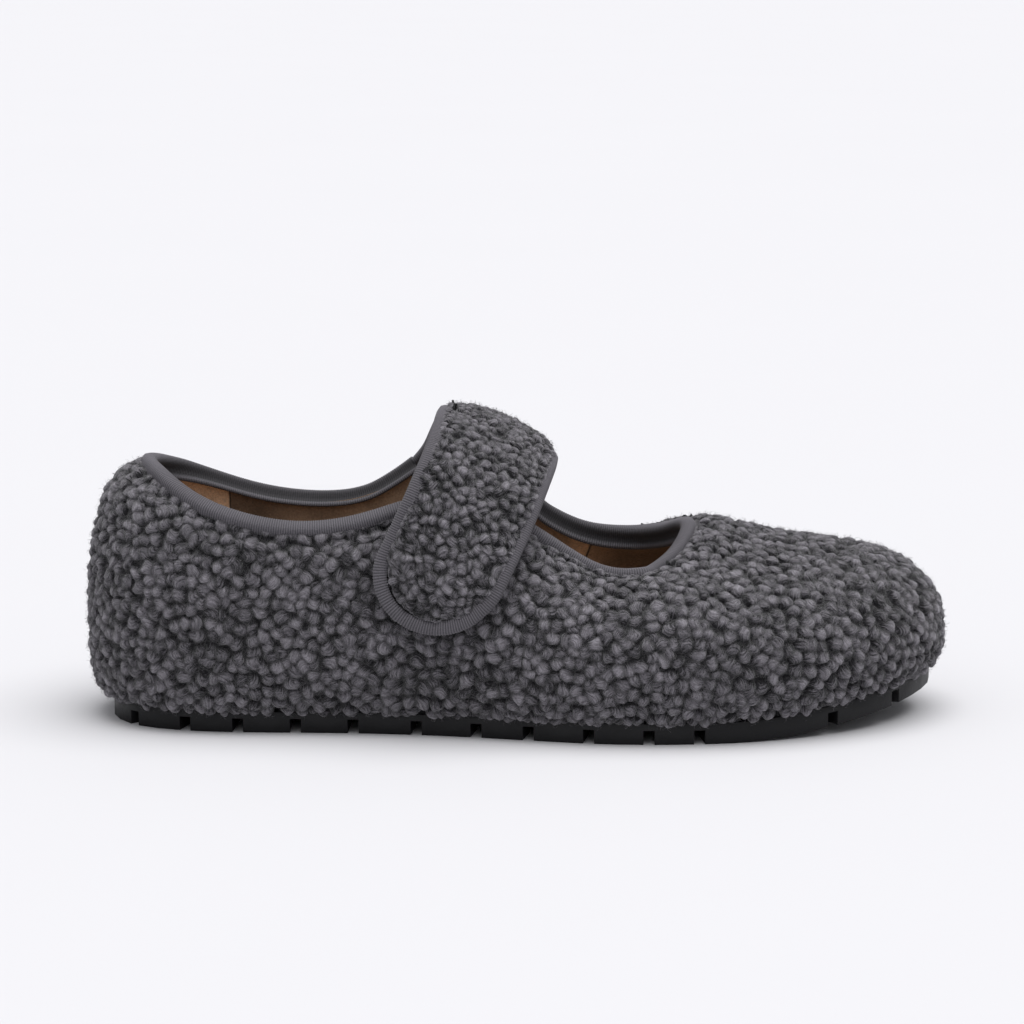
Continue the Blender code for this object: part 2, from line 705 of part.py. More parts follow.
def ladder(points, first, n, across, height, downwards):
    """Fills a loop of n points with rungs between its two sides; adds the points between and returns faces."""
    rungs = [[first] * (across + 1)]
    for i in range(1, n // 2):
        a = np.array(points[first + i])
        b = np.array(points[first + n - i])
        rung = [first + i]
        ends = (i / (n / 2)) * (1 - i / (n / 2)) * 4
        for k in range(1, across):
            t = k / across
            p = a + (b - a) * t
            level = p[2] + (height(t, p) - p[2]) * min(1.0, 1.8 * ends)
            points.append(np.array([p[0], p[1], level]))
            rung.append(len(points) - 1)
        rung.append(first + n - i)
        rungs.append(rung)
    rungs.append([first + n // 2] * (across + 1))
    faces = []
    for low, high in zip(rungs[:-1], rungs[1:]):
        for k in range(across):
            corners = []
            for corner in (low[k], high[k], high[k + 1], low[k + 1]):
                if corner not in corners:
                    corners.append(corner)
            faces.append(tuple(corners))
    return flipped(faces) if downwards else faces


# Sole
def sole_stations():
    """Stations round the sole: (shares u, whether the stretch after each is a gap between lugs)."""
    outline = sole_outline(np.linspace(0.0, 0.5, 400))
    marks = [0.0]
    gap_after = []
    length = lengths_along(outline)[-1]
    for gap in LUG_GAPS:
        half = LUG_GAP / 2 / length
        start = gap - half
        pieces = max(1, round((start - marks[-1]) * length / LUG_FACET))
        for k in range(pieces):
            gap_after.append(False)
            marks.append(marks[-1] + (start - marks[-1]) / (pieces - k))
        gap_after.append(True)
        marks.append(gap + half)
    pieces = max(1, round((1.0 - marks[-1]) * length / LUG_FACET))
    for k in range(pieces):
        gap_after.append(False)
        marks.append(marks[-1] + (1.0 - marks[-1]) / (pieces - k))
    return np.array(marks), gap_after


def side_u(marks, inner):
    """The rib parameter where a side of the sole's outline has run these shares of its length."""
    u = np.linspace(0.0, 0.5, 400)
    if inner:
        u = 1.0 - u
    running = lengths_along(sole_outline(np.mod(u, 1.0)))
    return np.interp(marks, running / running[-1], u)


def make_outsole(finish):
    """The rubber sole: a plate with the rim lugs, a channel inside them and blocks in the middle."""
    marks, gap_after = sole_stations()
    half = len(marks) - 1
    u = np.concatenate([side_u(marks, False), side_u(marks, True)[-2:0:-1]])
    n = len(u)
    gaps = gap_after + gap_after[::-1]
    outline = sole_outline(np.mod(u, 1.0))
    run = unit(np.roll(outline, -1, axis=0) - np.roll(outline, 1, axis=0))
    inwards = np.column_stack([-run[:, 1], run[:, 0]])
    nodes = [outline, outline + inwards * LUG_DEPTH, outline + inwards * (LUG_DEPTH + CHANNEL)]
    nodes = list(np.concatenate(nodes))
    cells = []
    for i in range(n):
        j = (i + 1) % n
        cells.append(((i, j, j + n, i + n), "plate" if gaps[i] else "lug"))
        cells.append(((i + n, j + n, j + 2 * n, i + 2 * n), "plate"))
    across = 5
    rungs = [[2 * n] * (across + 1)]
    for i in range(1, half):
        a, b = nodes[2 * n + i], nodes[3 * n - i]
        rung = [2 * n + i]
        centre = CHANNEL / 2 / max(np.linalg.norm(b - a), 1e-6)
        for t in (0.25 - centre / 2, 0.5 - centre, 0.5 + centre, 0.75 + centre / 2):
            nodes.append(a + (b - a) * t)
            rung.append(len(nodes) - 1)
        rung.append(3 * n - i)
        rungs.append(rung)
    rungs.append([2 * n + half] * (across + 1))
    for i in range(half):
        end = i < 3 or i > half - 4
        for k in range(across):
            corners = []
            for corner in (rungs[i][k], rungs[i + 1][k], rungs[i + 1][k + 1], rungs[i][k + 1]):
                if corner not in corners:
                    corners.append(corner)
            low = not (end or gap_after[i] or k == across // 2)
            cells.append((tuple(corners), "lug" if low else "plate"))
    points, faces = terraces(nodes, cells, n, half)
    return make_object("outsole", points, faces, finish)


def terraces(nodes, cells, n, half):
    """The body over a plan of cells: each cell's underside at its own level, and walls between them."""
    heights = {"lug": 0.0, "plate": LUG_HEIGHT, "top": LUG_HEIGHT + SOLE_BASE}
    index = {}
    points = []

    def corner(node, level):
        key = (node, level)
        if key not in index:
            x, y = nodes[node]
            index[key] = len(points)
            points.append((x, y, heights[level] + float(spring(np.array(x)))))
        return index[key]

    faces = []
    sides = {}
    for ring, level in cells:
        faces.append(tuple(corner(node, level) for node in reversed(ring)))
        for a, b in zip(ring, ring[1:] + ring[:1]):
            sides[(a, b)] = level
    for (a, b), level in sides.items():
        other = sides.get((b, a))
        if other is None:
            if level == "lug":
                faces.append((corner(a, "lug"), corner(b, "lug"), corner(b, "plate"), corner(a, "plate")))
            faces.append((corner(a, "plate"), corner(b, "plate"), corner(b, "top"), corner(a, "top")))
        elif level == "lug" and other == "plate":
            faces.append((corner(a, "lug"), corner(b, "lug"), corner(b, "plate"), corner(a, "plate")))
    for i in range(half):
        ring = []
        for node in (i, i + 1, n - i - 1, (n - i) % n):
            if node not in ring:
                ring.append(node)
        faces.append(tuple(corner(node, "top") for node in ring))
    return points, faces


# The whole shoe
def centre_on_footprint(objects):
    """Moves every object so that the shoe's box is centred over the origin and stands on z = 0."""
    corners = np.array([v.co[:] for obj in objects for v in obj.data.vertices])
    low, high = corners.min(axis=0), corners.max(axis=0)
    shift = Vector((-(low[0] + high[0]) / 2, -(low[1] + high[1]) / 2, -low[2]))
    for obj in objects:
        for vertex in obj.data.vertices:
            vertex.co += shift
        obj.data.update()


def build():
    """Clears the scene and makes the shoe."""
    for obj in list(bpy.data.objects):
        bpy.data.objects.remove(obj, do_unlink=True)
    fleece = material("curly fleece", (0.062, 0.056, 0.066), 0.95)
    ribbon = material("ribbed binding tape", (0.105, 0.098, 0.110), 0.75)
    suede = material("suede lining", (0.150, 0.095, 0.060), 0.90)
    rubber = material("black rubber", (0.016, 0.015, 0.017), 0.55)
    strap = Strap(shoe_envelope())
    top, side = bound_edge(strap)
    objects = [
        make_outsole(rubber),
        make_insole(suede),
        make_upper(fleece),
        make_tape("topline_binding", *top, ribbon),
        make_strap(strap, fleece),
        make_tape("strap_binding", *side, ribbon),
    ]
    centre_on_footprint(objects)


build()
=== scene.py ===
"""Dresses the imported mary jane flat: curly fleece, grosgrain binding, suede lining and a black rubber sole."""

import logging
import math
from collections.abc import Callable, Iterable
from dataclasses import dataclass, field
from enum import Enum
from typing import NamedTuple

import bmesh
import bpy
import numpy as np
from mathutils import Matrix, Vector
from mathutils.bvhtree import BVHTree


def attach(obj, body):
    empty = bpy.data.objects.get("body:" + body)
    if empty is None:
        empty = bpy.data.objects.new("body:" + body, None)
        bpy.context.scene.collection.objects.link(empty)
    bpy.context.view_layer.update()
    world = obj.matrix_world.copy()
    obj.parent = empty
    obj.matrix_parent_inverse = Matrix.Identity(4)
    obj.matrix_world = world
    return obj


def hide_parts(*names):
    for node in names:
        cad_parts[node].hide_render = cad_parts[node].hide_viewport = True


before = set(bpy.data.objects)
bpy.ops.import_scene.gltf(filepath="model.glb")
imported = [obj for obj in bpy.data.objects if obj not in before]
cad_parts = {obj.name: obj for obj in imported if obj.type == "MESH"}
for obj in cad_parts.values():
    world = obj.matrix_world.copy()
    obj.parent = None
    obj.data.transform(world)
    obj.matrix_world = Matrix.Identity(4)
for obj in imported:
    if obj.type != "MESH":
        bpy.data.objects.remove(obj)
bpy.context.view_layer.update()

log = logging.getLogger("mary_jane")

MM = 0.001
SPINE = ((-0.095, 0.095), 0.022)  # the shoe's hollow runs round this line: its ends along x, its height
OPEN_SPINE = ((0.024, 0.046), 0.060)  # behind this stretch the hollow is open and the line reaches this high
FOOT_TOP = 22 * MM  # under this height a border of the upper's wall is the one at the sole
TAPE_COVER = 2.6 * MM  # how near a tape the wall's faces end under it
STRAP_COVER = 2.0 * MM
FOOT_STEP = 0.2 * MM  # how far a border at the sole goes on
RIB_PITCH = 0.72 * MM
RIB_DEPTH = 0.10 * MM
STRAP_LEAN = math.radians(23.5)
STRAP_ACROSS = Vector((math.cos(STRAP_LEAN), 0.0, -math.sin(STRAP_LEAN)))  # over the strap's width
STRAP_HUB = Vector((-5.4 * MM, 0.0, 55 * MM))  # a point inside the foot's opening, under the strap
ROOT = "root"
RING_PASSES = 3  # how often a lip's line is averaged with its neighbours, so that it never turns back

Colour = tuple[float, float, float, float]
Value = object  # a number, a tuple, a name or a node's output socket


class Slot(Enum):
    """The record's material slots."""

    FLEECE = "curly_fleece"
    BINDING = "binding_tape"
    LINING = "suede_lining"
    RUBBER = "outsole_rubber"


class Side(Enum):
    """Which skin of the upper's wall is wanted."""

    PILE = 1
    LINING = -1


class Seam(NamedTuple):
    """A dark line between two panels of the lining, and the painted light and shade beside it."""

    x: float  # at the floor
    lean: float  # how far ahead it moves with height
    half: float  # half its width
    painted_light_behind: float  # painted light next to it on the heel's side, as a gain, 1 for the suede's own
    ahead: float  # painted light and shade next to it on the toe's side, as a gain
    fade: float  # how far that painted light and shade fades


def clamped(value: float) -> float:
    """A number kept between 0 and 1."""
    return min(max(value, 0.0), 1.0)


def grey(red: float, green: float, blue: float) -> Colour:
    """A linear colour from a screen colour of 0 to 255."""
    shares = (c / 255 for c in (red, green, blue))
    return (*(s / 12.92 if s <= 0.04045 else ((s + 0.055) / 1.055) ** 2.4 for s in shares), 1.0)


# ---------------------------------------------------------------------------------------------- node trees


class Wiring:
    """Adds nodes to one tree, sets their inputs and joins them."""

    def __init__(self, tree: bpy.types.NodeTree) -> None:
        """Keeps the tree that is worked on."""
        self.tree = tree

    def add(self, kind: str, inputs: dict | None = None, **settings: Value) -> bpy.types.Node:
        """Adds a node.

        Args:
            kind: the node's type.
            inputs: its input sockets by name or number, each with a value or another node's output.
            **settings: properties of the node itself, set before its inputs.

        Returns:
            The node.
        """
        node = self.tree.nodes.new(kind)
        for name, value in settings.items():
            setattr(node, name, value)
        for name, value in (inputs or {}).items():
            self.feed(value, node.inputs[name])
        return node

    def feed(self, value: Value, socket: bpy.types.NodeSocket) -> None:
        """Joins an output to an input, or sets the input to a constant."""
        if isinstance(value, bpy.types.NodeSocket):
            self.tree.links.new(value, socket)
        else:
            socket.default_value = value

    def math(self, operation: str, *values: Value, clamp: bool = False) -> bpy.types.NodeSocket:
        """A Math node's result.

        Args:
            operation: what it does.
            *values: its one to three inputs.
            clamp: keeps the result between 0 and 1.

        Returns:
            The output socket.
        """
        node = self.add("ShaderNodeMath", dict(enumerate(values)), operation=operation, use_clamp=clamp)
        return node.outputs[0]

    def vector(self, operation: str, *values: Value, out: str = "Vector") -> bpy.types.NodeSocket:
        """A Vector Math node's result.

        Args:
            operation: what it does.
            *values: its inputs, in order.
            out: which output is wanted.

        Returns:
            The output socket.
        """
        node = self.add("ShaderNodeVectorMath", operation=operation)
        for socket, value in zip(node.inputs, values):
            self.feed(value, socket)
        return node.outputs[out]

    def named(self, name: str, kind: str = "FLOAT") -> bpy.types.NodeSocket:
        """A stored attribute's value in a geometry tree.

        Args:
            name: the attribute's name.
            kind: its data type.

        Returns:
            The output socket.
        """
        return self.add("GeometryNodeInputNamedAttribute", {"Name": name}, data_type=kind).outputs[0]

    def swing(
        self, value: Value, middle: float, gain: Value, base: Value, clamp: bool = False
    ) -> bpy.types.NodeSocket:
        """A base plus a number's distance from its middle times a gain.

        Args:
            value: the number.
            middle: where it adds nothing.
            gain: how much it counts.
            base: what it is added to.
            clamp: keeps the result between 0 and 1.

        Returns:
            The output socket.
        """
        return self.math("MULTIPLY_ADD", self.math("SUBTRACT", value, middle), gain, base, clamp=clamp)

    def times(self, direction: Value, amount: Value) -> bpy.types.NodeSocket:
        """A vector times a number.

        Args:
            direction: the vector.
            amount: the number.

        Returns:
            The output socket.
        """
        return self.add("ShaderNodeVectorMath", {"Vector": direction, "Scale": amount}, operation="SCALE").outputs[0]

    def blend(self, share: Value, low: Value, high: Value) -> bpy.types.NodeSocket:
        """A colour between two others.

        Args:
            share: 0 for the first colour and 1 for the second.
            low: the first colour.
            high: the second colour.

        Returns:
            The output socket.
        """
        node = self.add("ShaderNodeMix", {0: share, 6: low, 7: high}, data_type="RGBA")
        return node.outputs[2]

    def ramp(
        self, value: Value, start: Value, stop: Value, low: Value = 0.0, high: Value = 1.0
    ) -> bpy.types.NodeSocket:
        """A smooth step of a number from one range to another.

        Args:
            value: the number.
            start: where the step begins.
            stop: where it ends.
            low: the result before it.
            high: the result after it.

        Returns:
            The output socket.
        """
        node = self.add(
            "ShaderNodeMapRange", {0: value, 1: start, 2: stop, 3: low, 4: high}, interpolation_type="SMOOTHSTEP"
        )
        return node.outputs[0]

    def group(self, tree: bpy.types.NodeTree, inputs: dict) -> bpy.types.Node:
        """Places a node group.

        Args:
            tree: the group.
            inputs: its inputs by name.

        Returns:
            The group's node.
        """
        return self.add("ShaderNodeGroup", inputs, node_tree=tree)


def new_group(
    name: str, kind: str, inputs: dict[str, tuple[str, Value]], outputs: dict[str, str]
) -> bpy.types.NodeTree:
    """An empty node group with named sockets.

    Args:
        name: the group's name.
        kind: its tree type.
        inputs: socket type and first value, by input name.
        outputs: socket type, by output name.

    Returns:
        The group's tree.
    """
    tree = bpy.data.node_groups.new(name, kind)
    for title, (sort, value) in inputs.items():
        socket = tree.interface.new_socket(title, in_out="INPUT", socket_type=f"NodeSocket{sort}")
        if value is not None:
            socket.default_value = value
    for title, sort in outputs.items():
        tree.interface.new_socket(title, in_out="OUTPUT", socket_type=f"NodeSocket{sort}")
    return tree


class Effects:
    """The shader groups that several finishes share, each made once."""

    def __init__(self) -> None:
        """Builds the groups."""
        self.uneven = self._uneven_tone()
        self.fibre = self._fibre_nap()

    @staticmethod
    def _uneven_tone() -> bpy.types.NodeTree:
        """Broad soft patches of lighter and darker colour, from handling and light dust.

        Returns:
            A group that puts out the uneven colour and the mask of its patches.
        """
        tree = new_group(
            "uneven_tone",
            "ShaderNodeTree",
            {"Colour": ("Color", (0.5, 0.5, 0.5, 1.0)), "Patches": ("Float", 40.0), "Amount": ("Float", 0.2)},
            {"Colour": "Color", "Mask": "Float"},
        )
        w = Wiring(tree)
        given = w.add("NodeGroupInput").outputs
        place = w.add("ShaderNodeTexCoord").outputs["Object"]
        clouds = w.add(
            "ShaderNodeTexNoise", {"Vector": place, "Scale": given["Patches"], "Detail": 3.0, "Roughness": 0.6}
        ).outputs["Fac"]
        mask = w.ramp(clouds, 0.3, 0.7)
        gain = w.swing(mask, 0.5, given["Amount"], 1.0)
        put = w.add("NodeGroupOutput")
        tree.links.new(w.times(given["Colour"], gain), put.inputs["Colour"])
        tree.links.new(mask, put.inputs["Mask"])
        return tree

    @staticmethod
    def _fibre_nap() -> bpy.types.NodeTree:
        """Fine irregular grain, such as a suede's nap, a yarn's fibres or moulded rubber's skin.

        Returns:
            A group that puts out a grain value from 0 to 1.
        """
        tree = new_group(
            "fibre_nap",
            "ShaderNodeTree",
            {
                "Place": ("Vector", None),
                "Grains": ("Float", 1500.0),
                "Roughness": ("Float", 0.6),
                "Contrast": ("Float", 0.5),
            },
            {"Grain": "Float"},
        )
        w = Wiring(tree)
        given = w.add("NodeGroupInput").outputs
        noise = w.add(
            "ShaderNodeTexNoise",
            {"Vector": given["Place"], "Scale": given["Grains"], "Detail": 3.0, "Roughness": given["Roughness"]},
        ).outputs["Fac"]
        put = w.add("NodeGroupOutput")
        gain = w.math("MULTIPLY_ADD", given["Contrast"], 2.0, 1.0)
        spread = w.swing(noise, 0.5, gain, 0.5)
        tree.links.new(spread, put.inputs["Grain"])
        return tree


# ---------------------------------------------------------------------------------------------- finishes


@dataclass(frozen=True)
class Finish:
    """What every finish has: a name, the shared effects and its constant gloss."""

    name: str
    effects: Effects = field(repr=False)

    def begin(self, **constants: Value) -> tuple[bpy.types.Material, Wiring, bpy.types.Node]:
        """Starts a material with one Principled shader.

        Args:
            **constants: the shader's inputs that are the same all over, with spaces as underscores.

        Returns:
            The material, its wiring and the shader's node.
        """
        material = bpy.data.materials.new(self.name)
        material.use_nodes = True
        tree = material.node_tree
        shader = tree.nodes["Principled BSDF"]
        for key, value in constants.items():
            shader.inputs[key.replace("_", " ")].default_value = value
        return material, Wiring(tree), shader

    def grain(self, w: Wiring, place: Value, grains: float, roughness: float, contrast: float) -> bpy.types.NodeSocket:
        """The shared grain at a place.

        Args:
            w: the material's wiring.
            place: where, in metres.
            grains: how many to a metre.
            roughness: how much its finer steps count.
            contrast: how far it spreads.

        Returns:
            A value from 0 to 1.
        """
        inputs = {"Place": place, "Grains": grains, "Roughness": roughness, "Contrast": contrast}
        return w.group(self.effects.fibre, inputs).outputs[0]

    def relief(self, w: Wiring, shader: bpy.types.Node, height: Value, depth: float, strength: float = 1.0) -> None:
        """Feeds a height to the shader's normal.

        Args:
            w: the material's wiring.
            shader: the Principled shader.
            height: the height's socket, 0 to 1.
            depth: how far 1 stands out, in metres.
            strength: how much of it shows.
        """
        bump = w.add("ShaderNodeBump", {"Height": height, "Distance": depth, "Strength": strength})
        w.tree.links.new(bump.outputs["Normal"], shader.inputs["Normal"])


@dataclass(frozen=True)
class CurlyFleece(Finish):
    """Charcoal curly pile. It reads each curl's own place, height and tone from attributes, and paints shade into the
    gaps between curls by their height.
    """

    # the two ends of the painted shading: shade in the gaps between curls, light on their tops
    shade: Colour = grey(22, 21, 24)
    lit_tip: Colour = grey(147, 143, 150)
    streaks: float = 2600.0  # across a curl's strands, per metre
    along: float = 420.0
    bend: float = 260.0
    by_height: tuple[float, float] = (0.62, -0.04)  # painted light and shade: how much a curl's height lightens it, and from what
    by_strand: float = 0.7
    by_fuzz: float = 0.45
    by_tone: float = 0.26
    depth: float = 0.34 * MM

    def make(self) -> bpy.types.Material:
        """Builds the material.

        Returns:
            The material.
        """
        material, w, shader = self.begin(
            Roughness=0.95, Specular_IOR_Level=0.10, Sheen_Weight=0.28, Sheen_Roughness=0.5
        )
        curl = w.add("ShaderNodeAttribute", attribute_name="curl_place").outputs["Vector"]
        height = w.add("ShaderNodeAttribute", attribute_name="curl_height").outputs["Fac"]
        tone = w.add("ShaderNodeAttribute", attribute_name="curl_tone").outputs["Fac"]
        part = w.add("ShaderNodeSeparateXYZ", {0: curl}).outputs
        bent = w.math("MULTIPLY_ADD", w.math("MULTIPLY", part[1], part[1]), self.bend, part[0])
        lane = w.add(
            "ShaderNodeCombineXYZ",
            {
                0: w.math("MULTIPLY", bent, self.streaks),
                1: w.math("MULTIPLY", part[1], self.along),
                2: part[2],
            },
        ).outputs[0]
        strand = self.grain(w, lane, 1.0, 0.62, 0.7)
        place = w.add("ShaderNodeTexCoord").outputs["Object"]
        fuzz = self.grain(w, place, 2400.0, 0.7, 0.6)
        # painted light and shade: the lower a point sits in its curl, the darker its colour
        lit = w.math("MULTIPLY_ADD", w.math("POWER", height, 2.0), *self.by_height)
        lit = w.swing(strand, 0.5, self.by_strand, lit)
        lit = w.swing(fuzz, 0.5, self.by_fuzz, lit)
        lit = w.swing(tone, 0.5, self.by_tone, lit, clamp=True)
        mixed = w.blend(lit, self.shade, self.lit_tip)
        uneven = w.group(self.effects.uneven, {"Colour": mixed, "Patches": 28.0, "Amount": 0.16}).outputs[0]
        w.tree.links.new(uneven, shader.inputs["Base Color"])
        crest = w.math("MULTIPLY_ADD", fuzz, 0.45, strand)
        self.relief(w, shader, crest, self.depth, 0.9)
        return material


@dataclass(frozen=True)
class Grosgrain(Finish):
    """Ribbed binding tape. Its ribs are real; the weave's fine crossing is bump along the tape's own run. Its colour
    carries painted shade in the rib valleys and inside the fold.
    """

    colour: Colour = grey(109, 106, 112)
    groove_shade: Colour = grey(52, 50, 54)
    fold_shade: Colour = grey(35, 34, 36)
    pitch: float = RIB_PITCH

    def make(self) -> bpy.types.Material:
        """Builds the material.

        Returns:
            The material.
        """
        material, w, shader = self.begin(Roughness=0.78, Specular_IOR_Level=0.25, Sheen_Weight=0.12)
        run = w.add("ShaderNodeAttribute", attribute_name="tape_place").outputs["Vector"]
        part = w.add("ShaderNodeSeparateXYZ", {0: run}).outputs
        phase = w.math("MULTIPLY", part[0], 2 * math.pi / self.pitch)
        rib = w.math("MULTIPLY_ADD", w.math("COSINE", phase), 0.5, 0.5)
        cross = w.math("MULTIPLY", part[1], 2 * math.pi / (0.42 * MM))
        weft = w.math("MULTIPLY_ADD", w.math("SINE", cross), 0.5, 0.5)
        nap = self.grain(w, w.vector("MULTIPLY", run, (1.0, 1.0, 0.0)), 3000.0, 0.6, 0.5)
        # painted shade: the colour darkens in the rib valleys, with the weave's own grain mixed in
        share = w.math("MULTIPLY_ADD", nap, 0.45, w.math("MULTIPLY_ADD", rib, 0.62, w.math("MULTIPLY", weft, 0.1)))
        mixed = w.blend(w.math("SUBTRACT", share, 0.1, clamp=True), self.groove_shade, self.colour)
        # painted shade inside the tape's fold, where its inner face is recessed
        mixed = w.blend(w.math("MULTIPLY", part[2], 0.85), mixed, self.fold_shade)
        uneven = w.group(self.effects.uneven, {"Colour": mixed, "Patches": 60.0, "Amount": 0.12}).outputs[0]
        w.tree.links.new(uneven, shader.inputs["Base Color"])
        self.relief(w, shader, w.math("MULTIPLY_ADD", nap, 0.5, weft), 0.00008, 0.8)
        return material


@dataclass(frozen=True)
class Suede(Finish):
    """Brushed lining suede with a short nap, and thin dark seams where its panels meet, with painted light and shade in
    bands beside the seams.
    """

    colour: Colour = grey(151, 126, 104)
    seams: tuple[Seam, ...] = (
        Seam(9.1 * MM, 0.32, 0.20 * MM, 2.0, 1.25, 11 * MM),
        Seam(-90.7 * MM, 0.0, 0.14 * MM, 2.3, 0.5, 34 * MM),
    )

    def make(self) -> bpy.types.Material:
        """Builds the material.

        Returns:
            The material.
        """
        material, w, shader = self.begin(Roughness=0.92, Specular_IOR_Level=0.15, Sheen_Weight=0.18)
        place = w.add("ShaderNodeTexCoord").outputs["Object"]
        nap = self.grain(w, place, 1400.0, 0.65, 0.5)
        brushed = self.grain(w, place, 160.0, 0.5, 0.4)
        gain = w.swing(nap, 0.5, 0.5, 1.0)
        gain = w.swing(brushed, 0.5, 0.35, gain)
        colour = w.times(self.colour[:3], gain)
        height = w.math("MULTIPLY_ADD", brushed, 0.5, nap)
        part = w.add("ShaderNodeSeparateXYZ", {0: place}).outputs
        for x, lean, half, painted_light_behind, ahead, fade in self.seams:
            past = w.math("SUBTRACT", w.math("MULTIPLY_ADD", part[2], -lean, part[0]), x)
            # painted light and shade in bands beside the seam, standing in for how light falls on the lining there
            tone = w.blend(
                w.math("GREATER_THAN", past, 0.0),
                w.ramp(past, -fade, -0.3 * fade, 1.0, painted_light_behind),
                w.ramp(past, 0.2 * fade, fade, ahead, 1.0),
            )
            colour = w.times(colour, tone)
            off = w.math("ABSOLUTE", past)
            far = w.ramp(part[1], 0.0, 0.004)
            line = w.math("MULTIPLY", w.ramp(off, half, half * 2.2, 1.0, 0.0), far)
            colour = w.times(colour, w.math("MULTIPLY_ADD", line, -0.78, 1.0))
            height = w.math("MULTIPLY_ADD", line, -3.0, height)
        uneven = w.group(self.effects.uneven, {"Colour": colour, "Patches": 42.0, "Amount": 0.45}).outputs[0]
        w.tree.links.new(uneven, shader.inputs["Base Color"])
        self.relief(w, shader, height, 0.00022, 0.8)
        return material


@dataclass(frozen=True)
class SoleRubber(Finish):
    """Satin black moulded rubber, faintly dusty, with a fine mould skin."""

    colour: Colour = grey(9, 9, 12)

    def make(self) -> bpy.types.Material:
        """Builds the material.

        Returns:
            The material.
        """
        material, w, shader = self.begin(Specular_IOR_Level=0.32)
        place = w.add("ShaderNodeTexCoord").outputs["Object"]
        skin = self.grain(w, place, 900.0, 0.6, 0.4)
        gain = w.swing(skin, 0.5, 0.25, 1.0)
        uneven = w.group(
            self.effects.uneven, {"Colour": w.times(self.colour[:3], gain), "Patches": 45.0, "Amount": 0.3}
        ).outputs
        w.tree.links.new(uneven["Colour"], shader.inputs["Base Color"])
        w.tree.links.new(w.math("MULTIPLY_ADD", uneven["Mask"], 0.14, 0.42), shader.inputs["Roughness"])
        self.relief(w, shader, skin, 0.00009, 0.5)
        return material


@dataclass(frozen=True)
class StudioFloor(Finish):
    """The plain pale floor."""

    colour: Colour = (0.634, 0.629, 0.648, 1.0)

    def make(self) -> bpy.types.Material:
        """Builds the material.

        Returns:
            The material.
        """
        material, w, shader = self.begin(Roughness=0.9, Specular_IOR_Level=0.1)
        uneven = w.group(self.effects.uneven, {"Colour": self.colour, "Patches": 3.0, "Amount": 0.004}).outputs[0]
        w.tree.links.new(uneven, shader.inputs["Base Color"])
        return material


# ---------------------------------------------------------------------------------------------- mesh helpers


def merged_copy(node: str) -> bmesh.types.BMesh:
    """A CAD node's mesh with its loose triangles joined, the node itself left alone.

    Args:
        node: the node's name.

    Returns:
        The copy.
    """
    bm = bmesh.new()
    bm.from_mesh(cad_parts[node].data)
    bmesh.ops.remove_doubles(bm, verts=bm.verts, dist=1e-6)
    bm.normal_update()
    return bm


def away_from_spine(point: Vector) -> Vector:
    """Which way is out of the shoe at a point.

    Args:
        point: where.

    Returns:
        The vector from the hollow's line to the point.
    """
    (back, front), low = SPINE
    (open_to, closed_from), high = OPEN_SPINE
    share = clamped((closed_from - point.x) / (closed_from - open_to))
    top = low + (high - low) * share
    return point - Vector((min(max(point.x, back), front), 0.0, min(max(point.z, low), top)))


def squared(bm: bmesh.types.BMesh) -> None:
    """Joins a mesh's triangles into quads.

    Args:
        bm: the mesh, changed.
    """
    bmesh.ops.join_triangles(
        bm, faces=bm.faces, angle_face_threshold=math.radians(60), angle_shape_threshold=math.radians(70)
    )
    bm.normal_update()


def evened(bm: bmesh.types.BMesh, times: int) -> None:
    """Smooths a mesh but for its border.

    Args:
        bm: the mesh, changed.
        times: how many passes.
    """
    border = border_of(bm)
    inner = [v for v in bm.verts if v not in border]
    for _ in range(times):
        bmesh.ops.smooth_vert(bm, verts=inner, factor=0.5, use_axis_x=True, use_axis_y=True, use_axis_z=True)
    bm.normal_update()


def border_directions(bm: bmesh.types.BMesh) -> dict[bmesh.types.BMVert, Vector]:
    """For each border vertex, the way out of the surface past its border.

    Args:
        bm: an open surface.

    Returns:
        Unit vectors in the surface, by vertex.
    """
    ways: dict[bmesh.types.BMVert, Vector] = {}
    for edge in bm.edges:
        if not edge.is_boundary:
            continue
        face = edge.link_faces[0]
        out = (edge.verts[1].co - edge.verts[0].co).cross(face.normal).normalized()
        middle = (edge.verts[0].co + edge.verts[1].co) / 2
        if out.dot(middle - face.calc_center_median()) < 0:
            out = -out
        for vert in edge.verts:
            ways[vert] = ways.get(vert, Vector()) + out
    return {vert: way.normalized() for vert, way in ways.items()}


def border_of(bm: bmesh.types.BMesh) -> set[bmesh.types.BMVert]:
    """The vertices on an open surface's borders."""
    return {v for e in bm.edges if e.is_boundary for v in e.verts}


def unpinched(bm: bmesh.types.BMesh) -> None:
    """Deletes the faces at places where an open surface hangs together by one corner.

    Args:
        bm: the surface, changed.
    """
    while pinches := [v for v in bm.verts if sum(e.is_boundary for e in v.link_edges) > 2]:
        ends = ((v, f) for v in pinches for f in v.link_faces)
        drop = dict.fromkeys(f for v, f in ends if any(e.is_boundary for e in f.edges if v in e.verts))
        bmesh.ops.delete(bm, geom=list(drop), context="FACES")
        log.info("%d corners opened", len(pinches))
    bm.normal_update()


